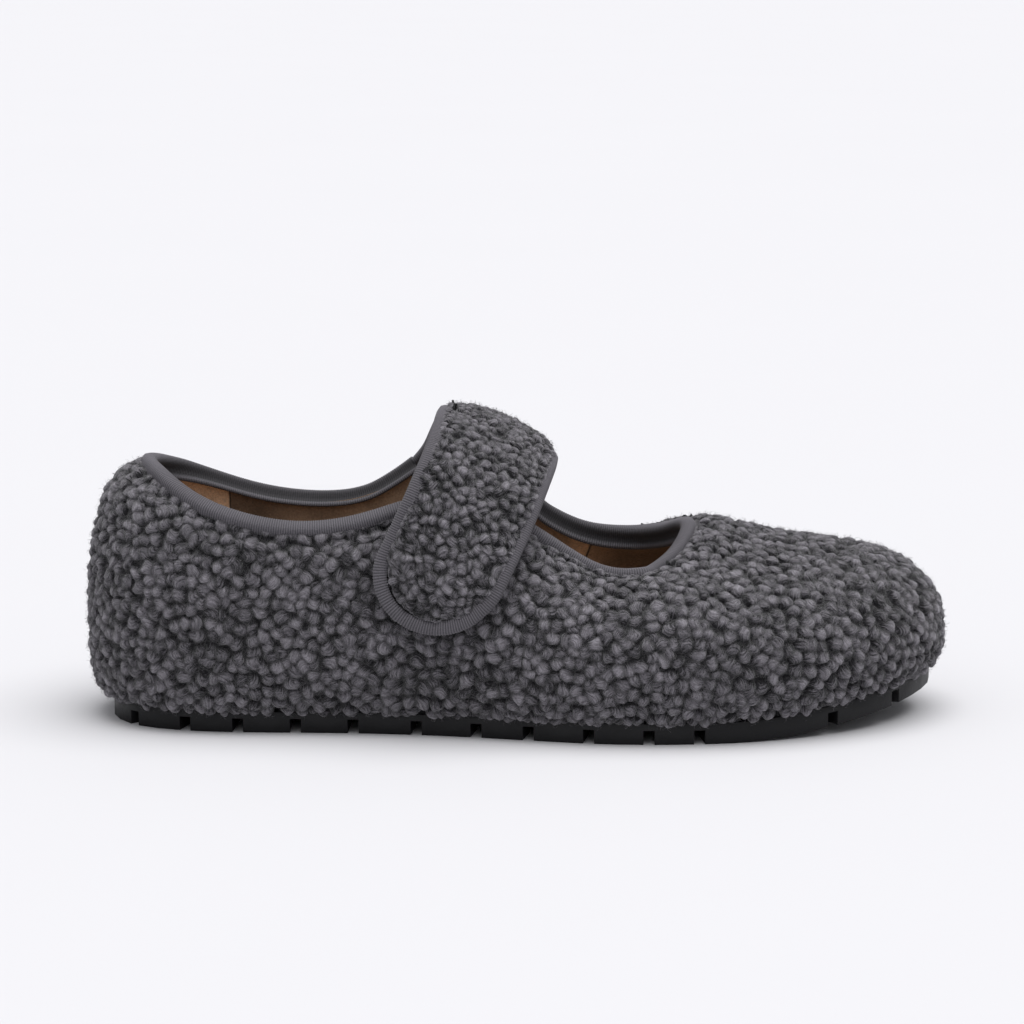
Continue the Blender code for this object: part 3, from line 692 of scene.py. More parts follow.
def lipped(
    bm: bmesh.types.BMesh, move: Callable[[bmesh.types.BMVert, Vector], tuple[Vector, Vector]], label: str
) -> None:
    """Carries an open surface on past its border and turns the edge in, so that it has a rounded lip.

    Args:
        bm: the surface, changed.
        move: from a border vertex and its way out, how far on the surface goes, and from there its lip.
        label: the vertex attribute that is 1 on the surface and 0 on the lip.
    """
    layer = bm.verts.layers.float.new(label)
    for vert in bm.verts:
        vert[layer] = 1.0
    moves = {vert: move(vert, way) for vert, way in border_directions(bm).items()}
    loops = [e.link_loops[0] for e in bm.edges if e.is_boundary]
    sides = [(loop.vert, loop.link_loop_next.vert) for loop in loops]
    places = {vert: vert.co + shift for vert, (shift, _) in moves.items()}
    for _ in range(RING_PASSES):
        sums = {vert: place * 2 for vert, place in places.items()}
        weights = dict.fromkeys(places, 2)
        for first, second in sides:
            sums[first] += places[second]
            sums[second] += places[first]
            weights[first] += 1
            weights[second] += 1
        places = {vert: total / weights[vert] for vert, total in sums.items()}
    lips = {vert: places[vert] + lip for vert, (_, lip) in moves.items()}
    ring = {vert: vert for vert in moves}
    for share, goal in ((1.0, places), (0.0, lips)):
        made = {vert: bm.verts.new(goal[vert], ring[vert]) for vert in moves}
        for first, second in sides:
            bm.faces.new((ring[second], ring[first], made[first], made[second]))
        for vert in made.values():
            vert[layer] = share
        ring = made
    bm.normal_update()


def to_mesh(bm: bmesh.types.BMesh, name: str) -> bpy.types.Mesh:
    """A smooth-shaded mesh from a bmesh, which is freed.

    Args:
        bm: the bmesh.
        name: the mesh's name.

    Returns:
        The mesh.
    """
    mesh = bpy.data.meshes.new(name)
    for face in bm.faces:
        face.smooth = True
    bm.to_mesh(mesh)
    bm.free()
    return mesh


def show(name: str, mesh: bpy.types.Mesh) -> bpy.types.Object:
    """Puts a mesh in the scene.

    Args:
        name: the object's name.
        mesh: its mesh.

    Returns:
        The object, at the origin.
    """
    piece = bpy.data.objects.new(name, mesh)
    bpy.context.scene.collection.objects.link(piece)
    return piece


def modified(mesh: bpy.types.Mesh, dress: Callable[[bpy.types.Object], None]) -> bpy.types.Mesh:
    """A plain mesh of what modifiers make of another.

    Args:
        mesh: the mesh to start from; it is thrown away.
        dress: puts the modifiers on an object of it.

    Returns:
        The result's mesh.
    """
    worker = show("worker", mesh)
    dress(worker)
    bpy.context.view_layer.update()
    graph = bpy.context.evaluated_depsgraph_get()
    seen = worker.evaluated_get(graph)
    result = bpy.data.meshes.new_from_object(seen, preserve_all_data_layers=True, depsgraph=graph)
    bpy.data.objects.remove(worker)
    return result


def rounded(mesh: bpy.types.Mesh, levels: int) -> bpy.types.Mesh:
    """A mesh subdivided into a smooth surface.

    Args:
        mesh: the mesh.
        levels: how many times.

    Returns:
        The finer mesh.
    """

    def dress(worker: bpy.types.Object) -> None:
        """Adds the subdivision."""
        surface = worker.modifiers.new("surface", "SUBSURF")
        surface.levels = surface.render_levels = levels
        surface.boundary_smooth = "ALL"

    return modified(mesh, dress)


def split_finer(mesh: bpy.types.Mesh, cuts: int) -> bpy.types.Mesh:
    """A mesh with each edge cut, its shape kept.

    Args:
        mesh: the mesh, changed.
        cuts: how many cuts in each edge.

    Returns:
        The same mesh.
    """
    bm = bmesh.new()
    bm.from_mesh(mesh)
    bmesh.ops.subdivide_edges(bm, edges=bm.edges, cuts=cuts, use_grid_fill=True)
    for face in bm.faces:
        face.smooth = True
    bm.to_mesh(mesh)
    bm.free()
    return mesh


def grown(mesh: bpy.types.Mesh, tree: bpy.types.NodeTree, values: dict[str, Value]) -> bpy.types.Mesh:
    """A plain mesh of what a Geometry Nodes tree makes of another.

    Args:
        mesh: the mesh to start from.
        tree: the tree.
        values: its inputs by name.

    Returns:
        The result's mesh.
    """
    keys = {item.name: item.identifier for item in tree.interface.items_tree if item.in_out == "INPUT"}

    def dress(worker: bpy.types.Object) -> None:
        """Adds the tree with its inputs."""
        modifier = worker.modifiers.new("growth", "NODES")
        modifier.node_group = tree
        for name, value in values.items():
            modifier[keys[name]] = value

    return modified(mesh, dress)


def hand_over(piece: bpy.types.Object, slot: Slot, nodes: Iterable[str], material: bpy.types.Material) -> None:
    """Gives a piece its material, puts it under the root and hides the CAD nodes that it stands for.

    Args:
        piece: the finished piece.
        slot: where its finish comes from; not used.
        nodes: the CAD nodes that it stands for.
        material: its material.
    """
    piece.data.materials.clear()
    piece.data.materials.append(material)
    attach(piece, ROOT)
    for node in nodes:
        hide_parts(node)
    piece.data.calc_loop_triangles()
    log.info("%s: %d triangles", piece.name, len(piece.data.loop_triangles))


# ---------------------------------------------------------------------------------------------- the pile


SWIRLS = 210.0  # noise that bends the curls' outlines, per metre
FINE_LUMPS = 620.0  # noise that makes each curl uneven, per metre
CURL_REACH = 0.80  # a curl's half width, as a share of the spacing
CURL_SIZES = (0.74, 1.08)
LIP_TONE = 0.8  # the turned-in border gets the painted shade of a curl of this height
FIBRE_SIZES = (0.5, 1.25)


@dataclass
class CurlyPile:
    """Grows curls on a surface: lumps with dark gaps between them, and loose fibres over them."""

    spacing: float = 2.95 * MM
    crevice: float = 1.5 * MM
    rise: float = 0.8 * MM
    droop: float = 0.5 * MM
    overhang: float = 1.3 * MM
    wobble: float = 1.6 * MM
    lumps: float = 0.56 * MM
    fibres: float = 1500000.0  # loose fibres on a square metre
    fibre_length: float = 1.45 * MM
    fibre_width: float = 0.05 * MM
    seed: int = 7

    def tree(self) -> bpy.types.NodeTree:
        """Builds the Geometry Nodes tree.

        Returns:
            The tree.
        """
        tree = new_group(
            "curly_pile",
            "GeometryNodeTree",
            {
                "Surface": ("Geometry", None),
                "Curl Spacing": ("Float", self.spacing),
                "Crevice": ("Float", self.crevice),
                "Rise": ("Float", self.rise),
                "Droop": ("Float", self.droop),
                "Overhang": ("Float", self.overhang),
                "Wobble": ("Float", self.wobble),
                "Lumps": ("Float", self.lumps),
                "Fibres": ("Float", self.fibres),
                "Fibre Length": ("Float", self.fibre_length),
                "Fibre Width": ("Float", self.fibre_width),
                "Zone Start": ("Float", -1.0),
                "Zone End": ("Float", 1.0),
                "Seed": ("Int", self.seed),
                "Finish": ("Material", None),
            },
            {"Pile": "Geometry"},
        )
        w = Wiring(tree)
        given = w.add("NodeGroupInput").outputs
        skin = w.add(
            "GeometryNodeStoreNamedAttribute",
            {"Geometry": given["Surface"], "Name": "skin_normal", "Value": w.add("GeometryNodeInputNormal").outputs[0]},
            data_type="FLOAT_VECTOR",
            domain="POINT",
        ).outputs[0]
        crowd = w.math("DIVIDE", 8.0, w.math("MULTIPLY", given["Curl Spacing"], given["Curl Spacing"]))
        scatter = w.add(
            "GeometryNodeDistributePointsOnFaces",
            {"Mesh": skin, "Distance Min": given["Curl Spacing"], "Density Max": crowd, "Seed": given["Seed"]},
            distribute_method="POISSON",
        )
        curls = w.add(
            "GeometryNodeStoreNamedAttribute",
            {"Geometry": scatter.outputs["Points"], "Name": "curl_normal", "Value": scatter.outputs["Normal"]},
            data_type="FLOAT_VECTOR",
            domain="POINT",
        ).outputs[0]
        zone = self._zone(w, skin, given)
        lumpy = self._curled(w, zone, curls, given)
        loose = self._fibres(w, lumpy, given)
        joined = w.add("GeometryNodeJoinGeometry")
        tree.links.new(loose, joined.inputs[0])
        tree.links.new(lumpy, joined.inputs[0])
        whole = w.add("GeometryNodeRealizeInstances", {"Geometry": joined.outputs[0]}).outputs[0]
        smooth = w.add("GeometryNodeSetShadeSmooth", {"Geometry": whole}).outputs[0]
        made = w.add("GeometryNodeSetMaterial", {"Geometry": smooth, "Material": given["Finish"]}).outputs[0]
        tree.links.new(made, w.add("NodeGroupOutput").inputs["Pile"])
        return tree

    @staticmethod
    def _zone(w: Wiring, skin: Value, given: Value) -> bpy.types.NodeSocket:
        """Keeps the faces between two places along the shoe.

        Args:
            w: the tree's wiring.
            skin: the surface.
            given: the tree's inputs.

        Returns:
            The zone's surface.
        """
        along = w.add("ShaderNodeSeparateXYZ", {0: w.add("GeometryNodeInputPosition").outputs[0]}).outputs[0]
        after = w.math("GREATER_THAN", along, given["Zone Start"])
        before = w.math("LESS_THAN", along, given["Zone End"])
        both = w.math("MULTIPLY", after, before)
        at_face = w.add("GeometryNodeFieldOnDomain", {0: both}, domain="FACE", data_type="FLOAT").outputs[0]
        mostly = w.math("GREATER_THAN", at_face, 0.49)
        kept = w.add("GeometryNodeSeparateGeometry", {"Geometry": skin, "Selection": mostly}, domain="FACE")
        return kept.outputs["Selection"]

    @staticmethod
    def _curled(w: Wiring, zone: Value, curls: Value, given: Value) -> bpy.types.NodeSocket:
        """Moves a surface's points into curls.

        Args:
            w: the tree's wiring.
            zone: the surface.
            curls: a point for each curl's middle.
            given: the tree's inputs.

        Returns:
            The lumpy surface, with each curl's place, height and tone stored.
        """
        position = w.add("GeometryNodeInputPosition").outputs[0]
        normal = w.named("skin_normal", "FLOAT_VECTOR")
        pile = w.named("pile_share")
        foot = w.named("foot_share")
        swirl = w.add("ShaderNodeTexNoise", {"Vector": position, "Scale": SWIRLS, "Detail": 1.0}).outputs["Color"]
        warp = w.times(w.vector("SUBTRACT", swirl, (0.5, 0.5, 0.5)), w.math("MULTIPLY", given["Wobble"], 2.0))
        warped = w.vector("ADD", position, warp)
        nearest = {"Geometry": curls, "Sample Position": warped}
        index = w.add("GeometryNodeSampleNearest", nearest, domain="POINT").outputs[0]

        def of_curl(value: Value) -> bpy.types.NodeSocket:
            """A vector field's value at the nearest curl."""
            inputs = {"Geometry": curls, "Value": value, "Index": index}
            return w.add("GeometryNodeSampleIndex", inputs, data_type="FLOAT_VECTOR", domain="POINT").outputs[0]

        def chance(low: float, high: float, offset: int) -> bpy.types.NodeSocket:
            """A random number of each curl."""
            seed = w.math("ADD", given["Seed"], float(offset))
            node = w.add("FunctionNodeRandomValue", {2: low, 3: high, "ID": index, "Seed": seed}, data_type="FLOAT")
            return node.outputs[1]

        middle = of_curl(w.add("GeometryNodeInputPosition").outputs[0])
        up = of_curl(w.named("curl_normal", "FLOAT_VECTOR"))
        off = w.vector("SUBTRACT", warped, middle)
        across = w.vector("LENGTH", off, out="Value")
        reach = w.math("MULTIPLY", given["Curl Spacing"], CURL_REACH)
        share = w.math("DIVIDE", across, reach)
        dome = w.math("SQRT", w.math("MAXIMUM", w.math("SUBTRACT", 1.0, w.math("MULTIPLY", share, share)), 0.0))
        size = chance(*CURL_SIZES, 1)
        fine = w.add("ShaderNodeTexNoise", {"Vector": position, "Scale": FINE_LUMPS, "Detail": 2.0}).outputs["Fac"]
        travel = w.math("ADD", given["Crevice"], given["Rise"])
        bulge = w.math("MULTIPLY", dome, size)
        lift = w.math("SUBTRACT", w.math("MULTIPLY", bulge, travel), given["Crevice"])
        lift = w.swing(fine, 0.5, w.math("MULTIPLY", given["Lumps"], 2.0), lift)
        lift = w.math("MULTIPLY", lift, pile)
        any_way = {0: (-1.0, -1.0, -1.0), 1: (1.0, 1.0, 1.0), "ID": index, "Seed": given["Seed"]}
        spin = w.add("FunctionNodeRandomValue", any_way, data_type="FLOAT_VECTOR").outputs[0]
        east = w.vector("NORMALIZE", w.vector("CROSS_PRODUCT", up, spin))
        north = w.vector("CROSS_PRODUCT", up, east)
        lean = w.times(east, w.math("MULTIPLY", given["Droop"], 0.7))
        hang = w.math("MULTIPLY_ADD", foot, given["Overhang"], given["Droop"])
        lean = w.vector("ADD", lean, w.times((0.0, 0.0, -1.0), hang))
        lean = w.times(lean, w.math("MULTIPLY", bulge, pile))
        shift = w.vector("ADD", w.times(normal, lift), lean)
        # towards the lip the crevices lose their depth, so they lose their painted crevice shade too
        open_share = w.ramp(pile, 0.6, 1.0)
        seen = w.swing(bulge, LIP_TONE, open_share, LIP_TONE)
        u = w.vector("DOT_PRODUCT", off, east, out="Value")
        v = w.vector("DOT_PRODUCT", off, north, out="Value")
        place = w.add("ShaderNodeCombineXYZ", {0: u, 1: v, 2: chance(0.0, 90.0, 3)}).outputs[0]
        for name, kind, value in (
            ("curl_place", "FLOAT_VECTOR", place),
            ("curl_height", "FLOAT", seen),
            ("curl_tone", "FLOAT", chance(0.0, 1.0, 5)),
        ):
            inputs = {"Geometry": zone, "Name": name, "Value": value}
            zone = w.add("GeometryNodeStoreNamedAttribute", inputs, data_type=kind, domain="POINT").outputs[0]
        return w.add("GeometryNodeSetPosition", {"Geometry": zone, "Offset": shift}).outputs[0]

    @staticmethod
    def _fibres(w: Wiring, lumpy: Value, given: Value) -> bpy.types.NodeSocket:
        """Loose fibres that arch over the curls.

        Args:
            w: the tree's wiring.
            lumpy: the curled surface.
            given: the tree's inputs.

        Returns:
            The fibres.
        """
        height = w.named("curl_height")
        pile = w.named("pile_share")
        off_lip = w.math("GREATER_THAN", pile, 0.7)
        dense = w.math("MULTIPLY", given["Fibres"], w.math("MULTIPLY", w.math("POWER", height, 1.5), off_lip))
        scatter = w.add(
            "GeometryNodeDistributePointsOnFaces",
            {"Mesh": lumpy, "Density": dense, "Seed": w.math("ADD", given["Seed"], 11.0)},
            distribute_method="RANDOM",
        )
        arch = w.add(
            "GeometryNodeCurveQuadraticBezier",
            {"Resolution": 3, "Start": (0.0, 0.0, -0.1), "Middle": (0.2, 0.0, 0.75), "End": (0.85, 0.15, 0.35)},
        ).outputs[0]
        size = w.add("ShaderNodeCombineXYZ", dict.fromkeys(range(3), given["Fibre Length"])).outputs[0]
        long = w.add("GeometryNodeTransform", {"Geometry": arch, "Scale": size})
        half = w.math("MULTIPLY", given["Fibre Width"], 0.5)
        start = w.add("ShaderNodeCombineXYZ", {0: w.math("MULTIPLY", half, -1.0)}).outputs[0]
        stop = w.add("ShaderNodeCombineXYZ", {0: half}).outputs[0]
        flat = w.add("GeometryNodeCurvePrimitiveLine", {"Start": start, "End": stop}).outputs[0]
        ribbon = w.add("GeometryNodeCurveToMesh", {"Curve": long.outputs[0], "Profile Curve": flat}).outputs[0]
        turns = {0: (-0.7, -0.7, 0.0), 1: (0.7, 0.7, 6.283), "Seed": 3}
        turn = w.add("FunctionNodeRandomValue", turns, data_type="FLOAT_VECTOR").outputs[0]
        twist = w.add("FunctionNodeEulerToRotation", {0: turn}).outputs[0]
        both = {0: scatter.outputs["Rotation"], 1: twist}
        aim = w.add("FunctionNodeRotateRotation", both, rotation_space="LOCAL").outputs[0]
        lengths = {2: FIBRE_SIZES[0], 3: FIBRE_SIZES[1], "Seed": 5}
        length = w.add("FunctionNodeRandomValue", lengths, data_type="FLOAT").outputs[1]
        return w.add(
            "GeometryNodeInstanceOnPoints",
            {"Points": scatter.outputs["Points"], "Instance": ribbon, "Rotation": aim, "Scale": length},
        ).outputs[0]


# ---------------------------------------------------------------------------------------------- sub-assemblies


@dataclass
class TapePath:
    """The line that a tape runs along, finely stepped, with its half sizes there as vectors."""

    run: np.ndarray
    middles: np.ndarray
    edge: np.ndarray  # out of the edge that it binds
    off: np.ndarray  # off that edge's outer side
    side_reach: float = 5 * MM  # how far from the tape its sides are told apart
    border_reach: float = 9 * MM  # how far from it a border is still carried on to it

    def side(self, point: Vector) -> float | None:
        """Which side of the bound edge a point is on.

        Args:
            point: where.

        Returns:
            More than 0 on the edge's outer side and less on its inner side, or nothing away from the tape.
        """
        apart = np.array(point) - self.middles
        i = int(np.argmin((apart**2).sum(axis=1)))
        if i in (0, len(self.middles) - 1) or np.linalg.norm(apart[i]) > self.side_reach:
            return None
        return float(apart[i] @ self.off[i])

    def beside(
        self, point: Vector, edge_share: float, off_share: float, proud: float, lip: float
    ) -> tuple[Vector, Vector] | None:
        """How a border that is next to the tape goes on to a place on the tape's section.

        Args:
            point: where.
            edge_share: how far out of the bound edge the place is, 1 on the tape's outline.
            off_share: how far off the wall it is.
            proud: a length that it stands off the wall besides.
            lip: how deep the border is turned in.

        Returns:
            The shift to that place and the lip from there, or nothing where the tape doesn't pass.
        """
        apart = np.array(point) - self.middles
        i = int(np.argmin((apart**2).sum(axis=1)))
        if i in (0, len(self.middles) - 1) or np.linalg.norm(apart[i]) > self.border_reach:
            return None
        unit = self.off[i] / np.linalg.norm(self.off[i])
        place = self.middles[i] + self.edge[i] * edge_share + self.off[i] * off_share + unit * proud
        return Vector(place) - point, Vector(unit) * -lip


@dataclass
class FleeceUpper:
    """The closed upper's outer skin: a curly pile from the sole to the topline, in zones along the shoe."""

    pile: CurlyPile
    rim_at: tuple[float, float] = (0.20, 1.0)  # where the pile meets the tape's section
    rim_proud: float = 1.6 * MM
    throat_proud: float = 1.5 * MM  # how much more it stands up ahead of the throat
    lip: float = 2.4 * MM
    toe_puff: float = 1.9 * MM
    heel_puff: float = 1.5 * MM
    throat_puff: float = 1.9 * MM
    top_puff: float = 1.2 * MM
    zones: tuple[tuple[str, float, float], ...] = (
        ("fleece_heel", -1.0, -0.094),
        ("fleece_counter", -0.094, -0.048),
        ("fleece_quarters", -0.048, 0.008),
        ("fleece_vamp", 0.008, 0.050),
        ("fleece_forefoot", 0.050, 0.090),
        ("fleece_toe", 0.090, 1.0),
    )

    def skin(self, tape: TapePath) -> bpy.types.Mesh:
        """The smooth surface that the pile grows on.

        Args:
            tape: the topline's tape.

        Returns:
            Its mesh, with how much each point is pile and how near it is to the foot.
        """
        bm = wall_side(Side.PILE, tape)
        squared(bm)
        evened(bm, 2)
        foot = bm.verts.layers.float.new("foot_share")
        ring = {v for v in border_of(bm) if v.co.z < FOOT_TOP}
        level = 1.0
        seen: set[bmesh.types.BMVert] = set()
        for _ in range(3):
            for vert in ring:
                vert[foot] = level
            seen |= ring
            ring = {e.other_vert(v) for v in ring for e in v.link_edges} - seen
            level -= 0.36
        for vert in bm.verts:
            x, z = vert.co.x, vert.co.z
            toe = clamped((x - 0.098) / 0.030)
            heel = clamped((-0.095 - x) / 0.025) * clamped((z - 0.030) / 0.025)
            throat = max(1.0 - abs(x - 0.048) / 0.026, 0.0) * clamped((z - 0.042) / 0.012)
            top = clamped((x - 0.036) / 0.012) * max(vert.normal.z, 0.0)
            puff = self.toe_puff * toe + self.heel_puff * heel + self.throat_puff * throat + self.top_puff * top
            vert.co += vert.normal * puff

        def move(vert: bmesh.types.BMVert, way: Vector) -> tuple[Vector, Vector]:
            """How the border goes on: hardly at the foot, and on to the tape at the topline."""
            lip = vert.normal * -self.lip
            if vert.co.z < FOOT_TOP:
                return way * FOOT_STEP, lip
            ahead = clamped((vert.co.x - 0.034) / 0.012)
            proud = self.rim_proud + self.throat_proud * ahead
            onto = tape.beside(vert.co, *self.rim_at, proud, self.lip + proud)
            return onto or (way * 2.0 * MM + vert.normal * 1.5 * MM, lip)

        lipped(bm, move, "pile_share")
        return split_finer(rounded(to_mesh(bm, "upper_skin"), 2), 2)

    def build(self, tape: TapePath, finish: bpy.types.Material, tree: bpy.types.NodeTree) -> None:
        """Grows the pile zone by zone.

        Args:
            tape: the topline's tape.
            finish: the fleece's material.
            tree: the pile's tree.
        """
        skin = self.skin(tape)
        for name, start, stop in self.zones:
            mesh = grown(skin, tree, {"Zone Start": start, "Zone End": stop, "Finish": finish})
            mesh.name = name
            hand_over(show(name, mesh), Slot.FLEECE, ["upper"], finish)


def tree_of(*nodes: str) -> BVHTree:
    """A search tree of some CAD nodes' faces."""
    bm = bmesh.new()
    for node in nodes:
        bm.from_mesh(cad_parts[node].data)
    tree = BVHTree.FromBMesh(bm)
    bm.free()
    return tree


def wall_side(side: Side, path: TapePath) -> bmesh.types.BMesh:
    """One skin of the upper's wall.

    Args:
        side: which skin.
        path: the topline's tape.

    Returns:
        An open surface of the faces that look that way, without the strip under the tape and strap.
    """
    tape, strap = (tree_of(*nodes) for nodes in (("topline_binding",), ("strap", "strap_binding")))
    bm = merged_copy("upper")
    ends = {
        v
        for v in bm.verts
        if tape.find_nearest(v.co)[3] < TAPE_COVER or (v.co.y > 0 and strap.find_nearest(v.co)[3] < STRAP_COVER)
    }
    drop = []
    for face in bm.faces:
        middle = face.calc_center_median()
        by_tape = path.side(middle)
        outer = (face.normal.dot(away_from_spine(middle)) if by_tape is None else by_tape) > 0
        if outer != (side is Side.PILE) or all(v in ends for v in face.verts):
            drop.append(face)
    bmesh.ops.delete(bm, geom=drop, context="FACES")
    unpinched(bm)
    return bm


def spread(place: Vector, way: Vector) -> float:
    """How far the soft strap's edge lies outside its solid: it is stretched at the back and the tip.

    Args:
        place: a point on the edge.
        way: the unit vector out of the edge.

    Returns:
        The distance, in metres.
    """
    near = clamped((0.008 - place.y) / 0.030)
    return 2.4 * MM * near * max(way.dot(Vector((-0.8, -0.1, -0.6))), 0.0)


@dataclass
class FleeceStrap:
    """The instep strap: pile over it, suede under it."""

    pile: CurlyPile
    edge_at: tuple[float, float] = (-0.02, 1.0)  # where the pile meets the tape's section
    edge_proud: float = 1.2 * MM
    lip: float = 3.0 * MM

    def build(
        self, tape: TapePath, fleece: bpy.types.Material, suede: bpy.types.Material, tree: bpy.types.NodeTree
    ) -> None:
        """Makes both sides of the strap.

        Args:
            tape: the strap's tape.
            fleece: the pile's material.
            suede: the underside's material.
            tree: the pile's tree.
        """
        bm = merged_copy("strap")
        wall = tree_of("upper")
        under = bm.copy()
        self._keep(bm, True)
        self._keep(under, False)
        squared(bm)
        foot = bm.verts.layers.float.new("foot_share")
        for vert in bm.verts:
            vert[foot] = 0.0

        def move(vert: bmesh.types.BMVert, way: Vector) -> tuple[Vector, Vector]:
            """How the border goes on: little where the strap leaves the quarter, and on to the tape elsewhere."""
            onto = tape.beside(vert.co, *self.edge_at, self.edge_proud, self.lip)
            if onto is None or (vert.co.y > 0.02 and wall.find_nearest(vert.co)[3] < 2.5 * MM):
                return way * 0.9 * MM, vert.normal * -0.6 * MM
            return onto

        lipped(bm, move, "pile_share")
        skin = split_finer(rounded(to_mesh(bm, "strap_skin"), 2), 2)
        sizes = {"Curl Spacing": self.pile.spacing, "Crevice": self.pile.crevice, "Rise": self.pile.rise}
        mesh = grown(skin, tree, {"Finish": fleece, **sizes, "Droop": self.pile.droop, "Seed": self.pile.seed})
        hand_over(show("strap_fleece", mesh), Slot.FLEECE, ["strap"], fleece)
        squared(under)
        lipped(under, lambda v, way: (way * 0.3 * MM, v.normal * -1.2 * MM), "nap")
        hand_over(show("strap_lining", rounded(to_mesh(under, "strap_lining"), 1)), Slot.LINING, ["strap"], suede)

    @staticmethod
    def _keep(bm: bmesh.types.BMesh, top: bool) -> None:
        """Keeps the strap's outer or inner faces.

        Args:
            bm: the strap, changed.
            top: True for the faces that look away from the foot.
        """
        drop = []
        for face in bm.faces:
            out = face.calc_center_median() - STRAP_HUB
            out = (out - STRAP_ACROSS * out.dot(STRAP_ACROSS)).normalized()
            facing = face.normal.dot(out) if top else -face.normal.dot(out)
            if facing < (0.8 if top else 0.6):
                drop.append(face)
        bmesh.ops.delete(bm, geom=drop, context="FACES")
        bm.normal_update()


@dataclass
class Binding:
    """A grosgrain tape folded over an edge, swept along the CAD tape's own rings."""

    node: str
    name: str
    off_hint: Vector
    edge_hint: Vector
    at: Callable[[Vector], float]  # the ring where the hints hold has the least of this
    stretched: bool = False
    pitch: float = RIB_PITCH
    rib: float = RIB_DEPTH
    ease: int = 9  # how many steps each way are averaged, which takes the corners off the CAD tape's line
    section: tuple[tuple[float, float, float], ...] = (
        (-0.95, 0.86, 0.0),
        (-0.30, 0.96, 0.0),
        (0.35, 0.95, 0.0),
        (0.78, 0.78, 0.0),
        (0.98, 0.42, 0.0),
        (1.00, 0.00, 0.0),
        (0.98, -0.42, 0.1),
        (0.80, -0.80, 0.3),
        (0.42, -0.98, 0.6),
        (0.05, -0.92, 0.9),
        (-0.35, -0.74, 1.0),
        (-0.95, -0.72, 1.0),
        (-1.22, -0.98, 0.5),
        (-1.42, -1.12, 0.1),
        (-1.84, -1.08, 0.3),
        (-1.84, -0.80, 1.0),
        (-0.95, 0.20, 1.0),
    )  # out of the edge, off the wall, how far inside the fold, which sets the painted shade there

    def rings(self) -> tuple[np.ndarray, np.ndarray, np.ndarray]:
        """Reads the CAD tape ring by ring.

        Returns:
            The rings' middles, and the half sizes out of the edge and off the wall as vectors.
        """
        bm = merged_copy(self.node)
        ring = self._cap(bm)
        order = [ring[0]]
        while len(order) < len(ring):
            near = [e.other_vert(order[-1]) for e in order[-1].link_edges if len(e.link_faces) == 2]
            near = [v for v in near if v in ring and v not in order]
            order.append(min(near, key=lambda v: (v.co - order[-1].co).length))
        table = [[v.co.copy() for v in order]]
        seen = set(order)
        while True:
            fresh = {e.other_vert(v) for v in order for e in v.link_edges} - seen
            if len(fresh) != len(order):
                break
            taken = []
            for vert in order:
                near = [e.other_vert(vert) for e in vert.link_edges if e.other_vert(vert) in fresh]
                taken.append(near)
            order = self._matched(order, taken)
            seen |= set(order)
            table.append([v.co.copy() for v in order])
        bm.free()
        log.info("%s: %d rings", self.node, len(table))
        points = np.array([[tuple(p) for p in row] for row in table])
        middles = points.mean(axis=1)
        sides = (points + np.roll(points, -1, axis=1)) / 2 - middles[:, None]
        start = min(range(len(middles)), key=lambda i: self.at(Vector(middles[i])))
        off_side = int(np.argmax(sides[start] @ np.array(self.off_hint)))
        edge_side = int(np.argmax(sides[start] @ np.array(self.edge_hint)))
        return middles, sides[:, edge_side], sides[:, off_side]

    @staticmethod
    def _matched(order: list, taken: list) -> list:
        """The next ring's vertices in the order of this ring's.

        Args:
            order: this ring.
            taken: each vertex's neighbours in the next ring.

        Returns:
            The next ring.
        """
        count = len(order)
        pool = {v for near in taken for v in near}
        best, least = None, math.inf
        for start in pool:
            loop = [start]
            while len(loop) < count:
                near = [e.other_vert(loop[-1]) for e in loop[-1].link_edges]
                near = [v for v in near if v in pool and v not in loop]
                if not near:
                    break
                step = order[len(loop)].co - order[len(loop) - 1].co
                loop.append(min(near, key=lambda v: ((v.co - loop[-1].co) - step).length))
            if len(loop) < count:
                continue
            miss = sum((a.co - b.co).length for a, b in zip(order, loop))
            if miss < least:
                best, least = loop, miss
        return best

    @staticmethod
    def _cap(bm: bmesh.types.BMesh) -> list:
        """Finds the vertices of one end of the tape.

        Args:
            bm: the tape.

        Returns:
            The eight vertices of a flat end.
        """
        for seed in bm.faces:
            group, queue = {seed}, [seed]
            while queue:
                face = queue.pop()
                for edge in face.edges:
                    for other in edge.link_faces:
                        if other not in group and other.normal.dot(seed.normal) > 0.9995:
                            group.add(other)
                            queue.append(other)
            verts = {v for f in group for v in f.verts}
            if len(verts) != 8 or len(group) != 6:
                continue
            middle = sum((v.co for v in verts), Vector()) / 8
            reach = [(v.co - middle).length for v in verts]
            if min(reach) > 0.75 * max(reach):
                return list(verts)
        raise ValueError("the tape has no flat end")

    def path(self) -> TapePath:
        """The line that the tape runs along.

        Returns:
            The line, four steps to a rib.
        """
        middles, edge, off = self.rings()
        run = np.concatenate([[0.0], np.cumsum(np.linalg.norm(np.diff(middles, axis=0), axis=1))])
        count = int(run[-1] / (self.pitch / 4)) + 1
        at = np.linspace(0.0, run[-1], count)
        middles, edge, off = (eased(curve_through(run, values, at), self.ease) for values in (middles, edge, off))
        if self.stretched:
            out = edge / np.linalg.norm(edge, axis=1, keepdims=True)
            middles = middles + out * np.array([[spread(Vector(p), Vector(o))] for p, o in zip(middles, out)])
        return TapePath(at, middles, edge, off)

